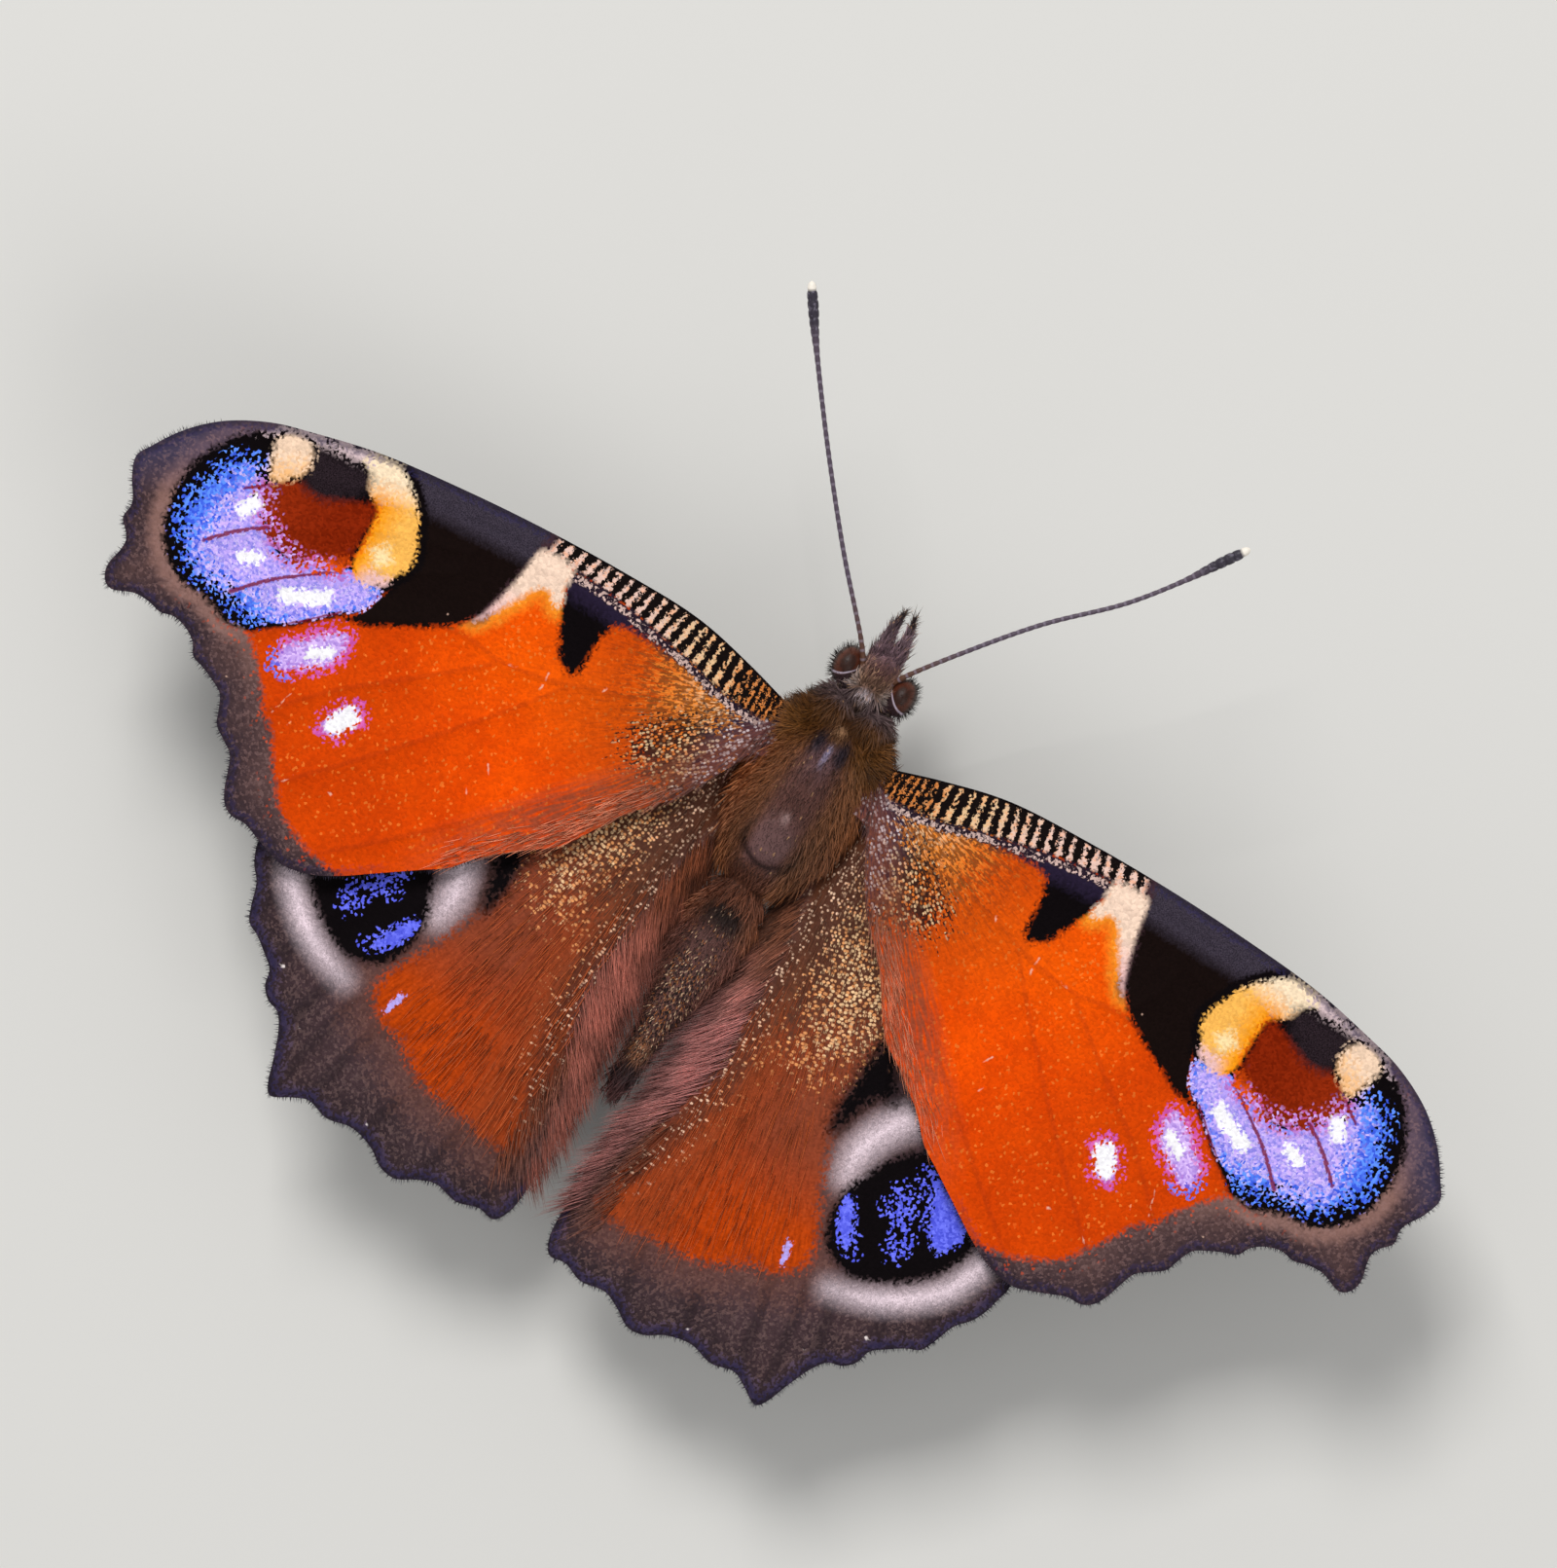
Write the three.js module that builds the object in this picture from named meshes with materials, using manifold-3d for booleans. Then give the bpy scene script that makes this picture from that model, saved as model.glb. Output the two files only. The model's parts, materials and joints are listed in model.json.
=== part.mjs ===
// A peacock butterfly at life size, standing with its wings spread flat. Millimetres, +Z up.
// +Y is the way it faces and +X is its right. Until the last lines every place is measured from the body's own
// middle line and the front hinges of the wings, with the ground at Z = 0.

import * as THREE from 'three';
import { mergeVertices } from 'three/addons/utils/BufferGeometryUtils.js';
import Module from 'manifold-3d';

const wasm = await Module();
wasm.setup();

// Air left between a part and the part that it grows from.
const GAP = 0.3;

// The trunk: ends along Y, half breadths across and up, and the height of its middle line.
const THORAX = { front: 1.9, rear: -8.1, wide: 2.95, high: 2.7, z: 8.05, bluntness: 0.62 };
const NECK_SLIMNESS = 0.3;
const WAIST_SLIMNESS = 0.14;
const SCUTELLUM = { x: 0, y: -5.7, radius: 1.3, rise: 0.22 };
const SHOULDER = { x: 1.75, y: -0.7, radius: 1.5, rise: 0.25 };
const HEAD = { middle: [0, 2.75, 8.35], radii: [1.36, 1.55, 1.4] };
const EYE = { middle: [1.47, 3.08, 8.42], radii: [0.62, 0.92, 1.02] };
const ABDOMEN = { front: -7.0, rear: -18.9, wide: 1.78, high: 1.72, bluntness: 0.55 };
const ABDOMEN_MIDDLE_Z = [7.75, 6.3];
const ABDOMEN_WIDEST_Y = -10.5;
const ABDOMEN_RINGS = 7;
const RING_GROOVE = 0.045;

// The wings: one height for the pair in front, and one below it for the pair behind.
const MEMBRANE = 0.5;
const VEIN_RISE = 0.16;
const VEIN_HALF_WIDTH = 0.28;
const WING = { rootX: 3, rootZ: 9.3, rise: 0.08, arch: 0.0012, chordY: -6, camber: 0.0012 };
const HINDWING_DROP = 1.1;
const GUTTER = { inner: 1, outer: 4.5, depth: 1.1 };
const LEFT_HINGE = [2.75, 0.2];
const LEFT_SWEEP_BACK = THREE.MathUtils.degToRad(5.9);

// How finely a wing is divided: along its edge, along its veins, and between them.
const EDGE_STEP = 0.75;
const VEIN_STEP = 1.6;
const FILL_STEP = 2.5;
const CLEAR_OF_EDGE = 0.36;
const CLEAR_OF_VEIN = 0.72;
const CLEAR_OF_POINT = 0.26;

// Right forewing, seen from above: the front edge from the root to the apex, the scalloped outer edge with its
// hook, and the inner edge back to the root. The root lies inside the thorax, which then cuts it.
const FOREWING_EDGE = [
  [1.6, -0.3], [3.05, 0.2], [5, 0.88], [8, 1.7], [12, 2.05], [16, 2.18], [20, 2.13], [24, 1.9],
  [27, 1.4], [29, 0.94], [31, 0], [32.4, -1.2], [33.3, -2.4], [33.7, -3.1],
  [33.4, -4.1], [32.9, -5.1], [32.95, -5.8], [32.4, -6.6], [32.45, -7.3], [32.65, -8.1], [32.2, -8.8],
  [31, -8.6], [29.6, -8.85], [28.3, -8.95], [27.4, -9.95], [26.2, -10.5], [25.5, -11.1], [25.1, -12.2],
  [24.1, -13], [23.6, -14.2], [23.1, -15.3], [22, -15.6], [20.9, -16.1], [19.7, -16.5],
  [18.3, -16.3], [16, -15.1], [13, -13.3], [10.5, -11.3], [9, -10.2], [7, -7.6], [5.1, -5.7], [3.9, -4],
  [3.2, -2.7], [1.6, -2.2],
];
const FOREWING_VEINS = [
  [[3, -0.7], [7, -0.35], [11, 0.25], [15, 0.6], [18, 0.6], [22, 0.3], [26, -0.4], [30, -2.1], [33, -4.7]],
  [[3, -1.2], [7, -2.1], [10.2, -3.1], [13, -3.85], [15, -4], [17.5, -3.7], [21.6, -5.1], [24.6, -7.2], [27.2, -9.8]],
  [[18, 0.9], [18.4, -0.4], [18.4, -1.3], [17.4, -3.6]],
  [[18.4, -0.3], [22, -1.1], [26, -2.9], [29.3, -5.1], [32.1, -8.2]],
  [[18.4, -1.3], [23.3, -3.7], [27, -6.3], [29.4, -8.6]],
  [[3.4, -0.1], [6, 0.55], [9, 1.1], [12, 1.3], [16, 1.45]],
  [[21, 0.6], [25, 0.95], [28.6, 0.35]],
  [[26.5, -0.3], [30, -0.9], [32.9, -2.8]],
  [[15.2, -4.2], [18, -6.3], [21.2, -8.6], [24.8, -12]],
  [[11.9, -3.7], [13, -5], [15.5, -7.6], [19.3, -11.3], [23.2, -14.8]],
  [[3.2, -1.8], [6, -4.4], [10, -8.3], [15, -12.6], [19.3, -16]],
];

// Right hindwing: the front edge under the forewing, the outer edge with its short tail, and the inner edge
// along the abdomen, which cuts it too.
const HINDWING_EDGE = [
  [1.6, -2.9], [3.3, -2.7], [8, -3.8], [13, -7], [17, -11.5], [19.1, -14.8], [19.65, -16.6],
  [19.35, -18.1], [18.6, -19.4], [18, -20.8], [16.9, -21.6], [15.95, -22.3], [15.3, -23.5],
  [14.3, -24.1], [13.8, -25.2], [13.4, -26.5], [12.8, -27.15],
  [11.9, -26.7], [10.2, -26.65], [9, -26.4], [7.5, -26.95], [6.2, -27.3], [5, -26.7], [3.3, -26.7],
  [1.5, -26.5], [1, -25.4], [0.95, -23.5], [1.05, -21], [1.25, -19.3], [1.5, -17], [1.6, -12], [1.6, -7],
];
const HINDWING_VEINS = [
  [[3.2, -3.7], [8, -5.2], [13, -8.5], [17.3, -13], [19.1, -17]],
  [[3.4, -4.9], [5.2, -7.6], [6.8, -11.4], [8.1, -16], [9.8, -20.6], [10.6, -23], [11.3, -26.3]],
  [[3.3, -4.3], [6, -6], [9, -8.6], [12.4, -12], [15.7, -15.8], [18, -20]],
  [[9, -8.6], [12.5, -14], [15, -19], [16, -21.9]],
  [[6, -9.2], [8.8, -10], [11, -14.5], [13, -20], [14, -23.8]],
  [[8.8, -10.6], [9.7, -16], [11.3, -20], [12, -22.4], [12.9, -26.6]],
  [[5.6, -9.4], [6.5, -16], [7.7, -22], [8.3, -26.2]],
  [[3.4, -5.8], [4.4, -12], [4.9, -19], [5.3, -26.4]],
  [[3, -8.5], [3, -13], [2.7, -19], [2.6, -26.2]],
];

// Limbs and feelers: each joint of the path has its place and its radius there.
const FORELEG = [[0.9, 0.6, 7, 0.42], [1.2, 2.1, 5.7, 0.38], [1.05, 1.3, 4.9, 0.32], [0.9, -0.5, 4.5, 0.25]];
const MIDLEG = [
  [1, -1.5, 6.8, 0.5], [2, -1.8, 5.1, 0.44], [5, -1.1, 6, 0.36], [5.5, -1, 5.7, 0.33], [7.1, -0.7, 0.8, 0.27],
  [7.5, -0.6, 0.21, 0.26], [8.6, -0.25, 0.2, 0.26], [9.9, 0.1, 0.2, 0.25],
];
const HINDLEG = [
  [1, -4.5, 6.8, 0.5], [1.9, -5.1, 5, 0.44], [4.4, -8.4, 6, 0.36], [4.8, -8.9, 5.7, 0.33], [6.2, -12.3, 0.8, 0.27],
  [6.4, -12.8, 0.21, 0.26], [7, -14.1, 0.2, 0.26], [7.7, -15.6, 0.2, 0.25],
];
const RIGHT_ANTENNA = [
  [0.7, 3.3, 8.9, 0.3], [1.15, 4.05, 9.3, 0.26], [2.7, 6.2, 9.8, 0.25], [5, 9.1, 10.5, 0.25],
  [7.7, 11.9, 11.2, 0.25], [9.5, 14.3, 11.8, 0.3], [10.45, 15.9, 12.2, 0.38], [10.95, 16.65, 12.4, 0.3],
];
const LEFT_ANTENNA = [
  [-0.7, 3.2, 8.9, 0.3], [-1.25, 4, 9.3, 0.26], [-4.3, 7.2, 10, 0.25], [-7.2, 10.5, 10.8, 0.25],
  [-9.1, 12.8, 11.4, 0.25], [-10.3, 14.3, 11.8, 0.3], [-11.25, 15.6, 12.15, 0.38], [-11.75, 16.3, 12.35, 0.3],
];
const RIGHT_PALP = [[0.4, 3.2, 7.6, 0.34], [0.43, 4.4, 7.65, 0.33], [0.36, 5.5, 8.2, 0.28], [-0.02, 6.42, 8.9, 0.08]];
const LEFT_PALP = [[-0.6, 3.2, 7.6, 0.34], [-0.6, 4.4, 7.65, 0.33], [-0.62, 5.5, 8.2, 0.28], [-0.5, 6.46, 8.9, 0.08]];
const COIL = { middle: [-0.08, 4.25, 6.1], radius: 1.05, tube: 0.22, pitch: 0.58, turns: 1.3 };

const UP = new THREE.Vector3(0, 0, 1);
const ACROSS = new THREE.Vector3(1, 0, 0);

// Turns a closed geometry into a solid, with its shared points merged.
function solid(geometry) {
  geometry.deleteAttribute('normal');
  geometry.deleteAttribute('uv');
  const merged = mergeVertices(geometry);
  return new wasm.Manifold(new wasm.Mesh({
    numProp: 3,
    vertProperties: merged.attributes.position.array,
    triVerts: new Uint32Array(merged.index.array),
  }));
}

// A sphere whose points are placed one by one: along runs from 0 at one end to 1 at the other, turn goes round.
function shaped(sides, rows, place) {
  const geometry = new THREE.SphereGeometry(1, sides, rows);
  const { position, uv } = geometry.attributes;
  for (let index = 0; index < position.count; index += 1) {
    const along = 1 - uv.getY(index);
    const turn = 2 * Math.PI * (uv.getX(index) % 1);
    const { x, y, z } = place(along, turn);
    position.setXYZ(index, x, y, z);
  }
  return solid(geometry);
}

// How far a rounded form has opened at this share of its length: 0 at both ends, 1 in the middle.
function opening(along) {
  return Math.sin(Math.PI * Math.min(along, 1 - along));
}

// An egg shape, grown on all sides by an allowance.
function egg({ middle, radii }, grow, sides, rows) {
  const [wide, long, high] = radii.map((radius) => radius + grow);
  return shaped(sides, rows, (along, turn) => new THREE.Vector3(
    middle[0] - Math.cos(turn) * opening(along) * wide,
    middle[1] + Math.cos(Math.PI * along) * long,
    middle[2] + Math.sin(turn) * opening(along) * high,
  ));
}

// A trunk lying along Y. section gives the half breadths and the middle height at a place along it, and relief
// lifts a point of its surface.
function trunk(form, grow, sides, rows, section, relief = () => 0) {
  return shaped(sides, rows, (along, turn) => {
    const y = THREE.MathUtils.lerp(form.front + grow, form.rear - grow, (1 - Math.cos(Math.PI * along)) / 2);
    const { wide, high, z } = section(y);
    const open = opening(along) ** form.bluntness;
    const x = -Math.cos(turn) * (wide + grow) * open;
    return new THREE.Vector3(x, y, z + Math.sin(turn) * (high + grow) * open + relief(x, y, turn));
  });
}

function thoraxSection(y) {
  const forward = THREE.MathUtils.smoothstep(y, -2, THORAX.front);
  const back = THREE.MathUtils.smoothstep(-y, 2, -THORAX.rear);
  const slim = 1 - NECK_SLIMNESS * forward - WAIST_SLIMNESS * back;
  return { wide: THORAX.wide * slim, high: THORAX.high * slim, z: THORAX.z };
}

// The round plate that closes the back of the thorax, and the lappet over each front wing's root, stand proud.
function plates(x, y, turn) {
  const swell = (plate) => {
    const away = Math.hypot(Math.abs(x) - plate.x, y - plate.y) / plate.radius;
    return plate.rise * Math.max(0, 1 - away * away);
  };
  return turn < Math.PI ? swell(SCUTELLUM) + swell(SHOULDER) : 0;
}

// The abdomen tapers to the tail, and a groove parts each ring from the next.
function abdomenSection(y) {
  const share = (ABDOMEN.front - y) / (ABDOMEN.front - ABDOMEN.rear);
  const tail = THREE.MathUtils.smoothstep(-y, -ABDOMEN_WIDEST_Y, -ABDOMEN.rear + 1.5);
  const groove = RING_GROOVE * (1 + Math.cos(2 * Math.PI * ABDOMEN_RINGS * share)) / 2;
  const slim = (1 - 0.5 * tail) * (1 - groove);
  return {
    wide: ABDOMEN.wide * slim,
    high: ABDOMEN.high * slim,
    z: THREE.MathUtils.lerp(ABDOMEN_MIDDLE_Z[0], ABDOMEN_MIDDLE_Z[1], share),
  };
}

const thorax = (grow) => trunk(THORAX, grow, 28, 26, thoraxSection, plates);
const abdomen = (grow) => trunk(ABDOMEN, grow, 16, 30, abdomenSection);
const head = (grow) => egg(HEAD, grow, 18, 14);
const eye = (side, grow) => egg({ ...EYE, middle: [side * EYE.middle[0], EYE.middle[1], EYE.middle[2]] }, grow, 16, 12);

// A jointed, tapering limb. Its joints bend about one direction, hinge, and nothing of it lies below the ground.
function limb(joints, hinge, sides, rows) {
  const points = joints.map(([x, y, z]) => new THREE.Vector3(x, y, z));
  const curve = new THREE.CatmullRomCurve3(points, false, 'centripetal');
  const reach = [0];
  points.slice(1).forEach((point, index) => reach.push(reach[index] + point.distanceTo(points[index])));
  const radiusAt = (along) => {
    const distance = along * reach.at(-1);
    const next = Math.max(1, reach.findIndex((value) => value >= distance - 1e-9));
    const share = (distance - reach[next - 1]) / (reach[next] - reach[next - 1]);
    return THREE.MathUtils.lerp(joints[next - 1][3], joints[next][3], share);
  };
  return shaped(sides, rows, (along, turn) => {
    const way = curve.getTangentAt(along);
    const first = hinge.clone().addScaledVector(way, -hinge.dot(way)).normalize();
    const second = way.clone().cross(first);
    const radius = radiusAt(along) * Math.sqrt(Math.min(1, 4 * opening(along)));
    const angle = turn + Math.PI / sides;
    const point = curve.getPointAt(along);
    point.addScaledVector(first, -Math.cos(angle) * radius);
    point.addScaledVector(second, Math.sin(angle) * radius);
    point.z = Math.max(0, point.z);
    return point;
  });
}

// The same joints on the insect's other side.
function mirrored(joints) {
  return joints.map(([x, ...rest]) => [-x, ...rest]);
}

// The level direction square to the way a leg reaches out.
function legHinge(joints) {
  const [fromX, fromY] = joints[0];
  const [toX, toY] = joints.at(-1);
  return new THREE.Vector3(toX - fromX, toY - fromY, 0).normalize().cross(UP);
}

// The feeding tube, coiled in the middle plane under the face, with its root reaching up into the head.
function proboscis() {
  const joints = [];
  const steps = Math.round(COIL.turns * 10);
  for (let step = 0; step <= steps; step += 1) {
    const turns = COIL.turns * step / steps;
    const angle = Math.PI * (0.95 - 2 * turns);
    const radius = COIL.radius - COIL.pitch * turns;
    joints.push([
      COIL.middle[0],
      COIL.middle[1] + radius * Math.cos(angle),
      COIL.middle[2] + radius * Math.sin(angle),
      COIL.tube,
    ]);
  }
  joints.unshift([COIL.middle[0], HEAD.middle[1] + 0.3, HEAD.middle[2] - HEAD.radii[2] + 0.3, COIL.tube]);
  return joints;
}

// Height of the front wings' middle surface over a place on either side.
function forewingHeight(x, y) {
  const out = Math.abs(x) - WING.rootX;
  return WING.rootZ + WING.rise * out - WING.arch * out * out - WING.camber * (y - WING.chordY) ** 2;
}

// The hind wings lie below, and their inner edges dip beside the abdomen.
function hindwingHeight(x, y) {
  const inward = 1 - THREE.MathUtils.smoothstep(Math.abs(x), GUTTER.inner, GUTTER.outer);
  return forewingHeight(x, y) - HINDWING_DROP - GUTTER.depth * inward;
}

// A smooth line through flat points, cut into even steps.
function evenly(points, step, closed) {
  const curve = new THREE.CatmullRomCurve3(points.map(([x, y]) => new THREE.Vector3(x, y, 0)), closed, 'centripetal');
  const count = Math.round(curve.getLength() / step);
  const places = curve.getSpacedPoints(count).map(({ x, y }) => [x, y]);
  return closed ? places.slice(0, -1) : places;
}

function inside([x, y], edge) {
  let crossings = 0;
  edge.forEach(([ax, ay], index) => {
    const [bx, by] = edge[(index + 1) % edge.length];
    if ((ay > y) !== (by > y) && x < ax + (bx - ax) * (y - ay) / (by - ay)) {
      crossings += 1;
    }
  });
  return crossings % 2 === 1;
}

function distanceToEdge([x, y], edge) {
  return Math.min(...edge.map(([ax, ay], index) => {
    const [bx, by] = edge[(index + 1) % edge.length];
    const share = ((x - ax) * (bx - ax) + (y - ay) * (by - ay)) / ((bx - ax) ** 2 + (by - ay) ** 2);
    const held = THREE.MathUtils.clamp(share, 0, 1);
    return Math.hypot(x - ax - held * (bx - ax), y - ay - held * (by - ay));
  }));
}

// The points of one wing: its edge, then three rows along each vein, the middle one raised, then a loose fill.
// A vein that runs up to an earlier one stops short of it.
function wingPoints(edgePoints, veins) {
  const edge = evenly(edgePoints, EDGE_STEP, true);
  const points = edge.map(([x, y]) => [x, y, 0]);
  const fits = (x, y) => inside([x, y], edge) && distanceToEdge([x, y], edge) > CLEAR_OF_EDGE;
  const apart = (x, y, others, clear) => others.every(([px, py]) => Math.hypot(px - x, py - y) >= clear);
  const rows = [];
  veins.forEach((vein) => {
    const others = rows.flat();
    rows.push(evenly(vein, VEIN_STEP, false).filter(([x, y]) => fits(x, y) && apart(x, y, others, CLEAR_OF_VEIN)));
  });
  const crests = rows.flat();
  crests.forEach(([x, y]) => points.push([x, y, VEIN_RISE]));
  const keep = (x, y, clear) => {
    if (fits(x, y) && apart(x, y, crests, VEIN_HALF_WIDTH - 0.01) && apart(x, y, points, clear)) {
      points.push([x, y, 0]);
    }
  };
  rows.filter((row) => row.length > 1).forEach((row) => row.forEach(([x, y], index) => {
    const [ax, ay] = row[Math.max(0, index - 1)];
    const [bx, by] = row[Math.min(row.length - 1, index + 1)];
    const length = Math.hypot(bx - ax, by - ay);
    [-1, 1].forEach((side) => {
      const across = side * VEIN_HALF_WIDTH / length;
      keep(x + across * (ay - by), y + across * (bx - ax), CLEAR_OF_POINT);
    });
  }));
  for (let x = 0; x < 36; x += FILL_STEP) {
    for (let y = -28; y < 4; y += FILL_STEP) {
      keep(x + (y % 2) * 0.3, y, FILL_STEP / 2);
    }
  }
  return { edge, points };
}

// Joins flat points into well-shaped triangles, all turning the same way, by adding them one at a time.
function triangles(points) {
  const far = 1000;
  const nudge = (value, index) => value + 1e-4 * Math.sin(index * 12.9898);
  const places = points.map(([x, y], index) => [nudge(x, index), nudge(y, index + 0.5)]);
  const first = places.length;
  places.push([-far, -far], [far, -far], [0, far]);
  const circled = (a, b, c) => {
    const [[ax, ay], [bx, by], [cx, cy]] = [places[a], places[b], places[c]];
    const double = 2 * (ax * (by - cy) + bx * (cy - ay) + cx * (ay - by));
    const [sa, sb, sc] = [ax * ax + ay * ay, bx * bx + by * by, cx * cx + cy * cy];
    const x = (sa * (by - cy) + sb * (cy - ay) + sc * (ay - by)) / double;
    const y = (sa * (cx - bx) + sb * (ax - cx) + sc * (bx - ax)) / double;
    return { corners: [a, b, c], x, y, square: (ax - x) ** 2 + (ay - y) ** 2 };
  };
  let found = [circled(first, first + 1, first + 2)];
  for (let index = 0; index < first; index += 1) {
    const [px, py] = places[index];
    const rim = new Map();
    found = found.filter(({ corners, x, y, square }) => {
      if ((px - x) ** 2 + (py - y) ** 2 > square) {
        return true;
      }
      corners.forEach((corner, turn) => {
        const next = corners[(turn + 1) % 3];
        if (!rim.delete(`${next},${corner}`)) {
          rim.set(`${corner},${next}`, [corner, next]);
        }
      });
      return false;
    });
    rim.forEach(([from, to]) => found.push(circled(from, to, index)));
  }
  return found.map(({ corners }) => corners).filter((corners) => corners.every((corner) => corner < first));
}

// One wing: both faces share the same triangles, and a wall runs round the edge. place moves a point of the right
// wing's plan to where it lies on this side, which is +1 or -1.
function wing(edgePoints, veins, height, side, place) {
  const { edge, points } = wingPoints(edgePoints, veins);
  const middleOf = (corners) => [0, 1].map((axis) => corners.reduce((sum, index) => sum + points[index][axis] / 3, 0));
  const faces = triangles(points).filter((corners) => inside(middleOf(corners), edge));
  const position = [];
  points.forEach(([x, y, rise]) => {
    const [placedX, placedY] = place(x, y);
    const z = height(placedX, placedY);
    position.push(placedX, placedY, z + MEMBRANE / 2 + rise);
    position.push(placedX, placedY, z - MEMBRANE / 2 - rise / 2);
  });
  const index = [];
  const add = (a, b, c) => index.push(...(side > 0 ? [a, b, c] : [c, b, a]));
  const open = new Map();
  faces.forEach(([a, b, c]) => {
    add(2 * a, 2 * b, 2 * c);
    add(2 * c + 1, 2 * b + 1, 2 * a + 1);
    [[a, b], [b, c], [c, a]].forEach(([from, to]) => {
      if (!open.delete(`${to},${from}`)) {
        open.set(`${from},${to}`, [from, to]);
      }
    });
  });
  open.forEach(([from, to]) => {
    add(2 * from, 2 * from + 1, 2 * to + 1);
    add(2 * from, 2 * to + 1, 2 * to);
  });
  const geometry = new THREE.BufferGeometry();
  geometry.setAttribute('position', new THREE.Float32BufferAttribute(position, 3));
  geometry.setIndex(index);
  return solid(geometry);
}

// The left front wing is the right one mirrored, and swung back a little further about its hinge.
function sweptBack(x, y) {
  const [outX, outY] = [x - LEFT_HINGE[0], y - LEFT_HINGE[1]];
  const [cosine, sine] = [Math.cos(LEFT_SWEEP_BACK), Math.sin(LEFT_SWEEP_BACK)];
  return [-(LEFT_HINGE[0] + outX * cosine + outY * sine), LEFT_HINGE[1] + outY * cosine - outX * sine];
}

const straight = (x, y) => [x, y];
const reflected = (x, y) => [-x, y];

const FINISH = {
  orange: { color: 0xc8480c, roughness: 0.72 },
  rust: { color: 0x8c3a18, roughness: 0.75 },
  brownHair: { color: 0x5d4534, roughness: 0.9 },
  darkHair: { color: 0x3a2c26, roughness: 0.88 },
  slate: { color: 0x46404a, roughness: 0.8 },
  eye: { color: 0x3a1d16, roughness: 0.25 },
  feeler: { color: 0x62525c, roughness: 0.6 },
  leg: { color: 0x6f5a45, roughness: 0.75 },
  tube: { color: 0x4a3020, roughness: 0.4 },
};

const group = new THREE.Group();

// Adds one node: the largest closed surface left after a part's cuts.
function add(name, shape, finish) {
  const [largest] = shape.decompose().sort((a, b) => b.volume() - a.volume());
  const { vertProperties, triVerts } = largest.getMesh();
  const geometry = new THREE.BufferGeometry();
  geometry.setAttribute('position', new THREE.BufferAttribute(new Float32Array(vertProperties), 3));
  geometry.setIndex(new THREE.BufferAttribute(new Uint32Array(triVerts), 1));
  geometry.computeVertexNormals();
  const mesh = new THREE.Mesh(geometry, new THREE.MeshStandardMaterial({ metalness: 0, ...FINISH[finish] }));
  mesh.name = name;
  group.add(mesh);
}

const thoraxRoom = thorax(GAP);
const headRoom = head(GAP);
const abdomenRoom = abdomen(GAP);
const eyeRoom = eye(1, GAP).add(eye(-1, GAP));
const rightPalp = limb(RIGHT_PALP, ACROSS, 8, 9);
const leftPalp = limb(LEFT_PALP, ACROSS, 8, 9);

add('thorax', thorax(0), 'brownHair');
add('abdomen', abdomen(0).subtract(thoraxRoom), 'darkHair');
add('head', head(0).subtract(thoraxRoom).subtract(eyeRoom), 'darkHair');
add('eye_right', eye(1, 0), 'eye');
add('eye_left', eye(-1, 0), 'eye');
add('palp_right', rightPalp.subtract(headRoom), 'slate');
add('palp_left', leftPalp.subtract(headRoom), 'slate');
add('proboscis', limb(proboscis(), ACROSS, 7, 34).subtract(headRoom), 'tube');
add('antenna_right', limb(RIGHT_ANTENNA, UP, 8, 24).subtract(headRoom).subtract(eyeRoom), 'feeler');
add('antenna_left', limb(LEFT_ANTENNA, UP, 8, 24).subtract(headRoom).subtract(eyeRoom), 'feeler');

const frontRight = wing(FOREWING_EDGE, FOREWING_VEINS, forewingHeight, 1, straight);
const frontLeft = wing(FOREWING_EDGE, FOREWING_VEINS, forewingHeight, -1, sweptBack);
const hindRight = wing(HINDWING_EDGE, HINDWING_VEINS, hindwingHeight, 1, straight);
const hindLeft = wing(HINDWING_EDGE, HINDWING_VEINS, hindwingHeight, -1, reflected);
add('forewing_right', frontRight.subtract(thoraxRoom), 'orange');
add('forewing_left', frontLeft.subtract(thoraxRoom), 'orange');
add('hindwing_right', hindRight.subtract(thoraxRoom).subtract(abdomenRoom), 'rust');
add('hindwing_left', hindLeft.subtract(thoraxRoom).subtract(abdomenRoom), 'rust');

[['foreleg', FORELEG, 12], ['midleg', MIDLEG, 20], ['hindleg', HINDLEG, 20]].forEach(([name, joints, rows]) => {
  [['right', joints], ['left', mirrored(joints)]].forEach(([side, placed]) => {
    add(`${name}_${side}`, limb(placed, legHinge(placed), 8, rows).subtract(thoraxRoom), 'leg');
  });
});

// The finished insect stands on the ground with its outline centred on the origin.
const outline = new THREE.Box3().setFromObject(group, true);
group.position.set(-(outline.min.x + outline.max.x) / 2, -(outline.min.y + outline.max.y) / 2, 0);

export default group;
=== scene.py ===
import json
import math

import bpy
import numpy as np
from mathutils import Euler, Matrix, Vector
from mathutils.geometry import delaunay_2d_cdt

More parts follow.
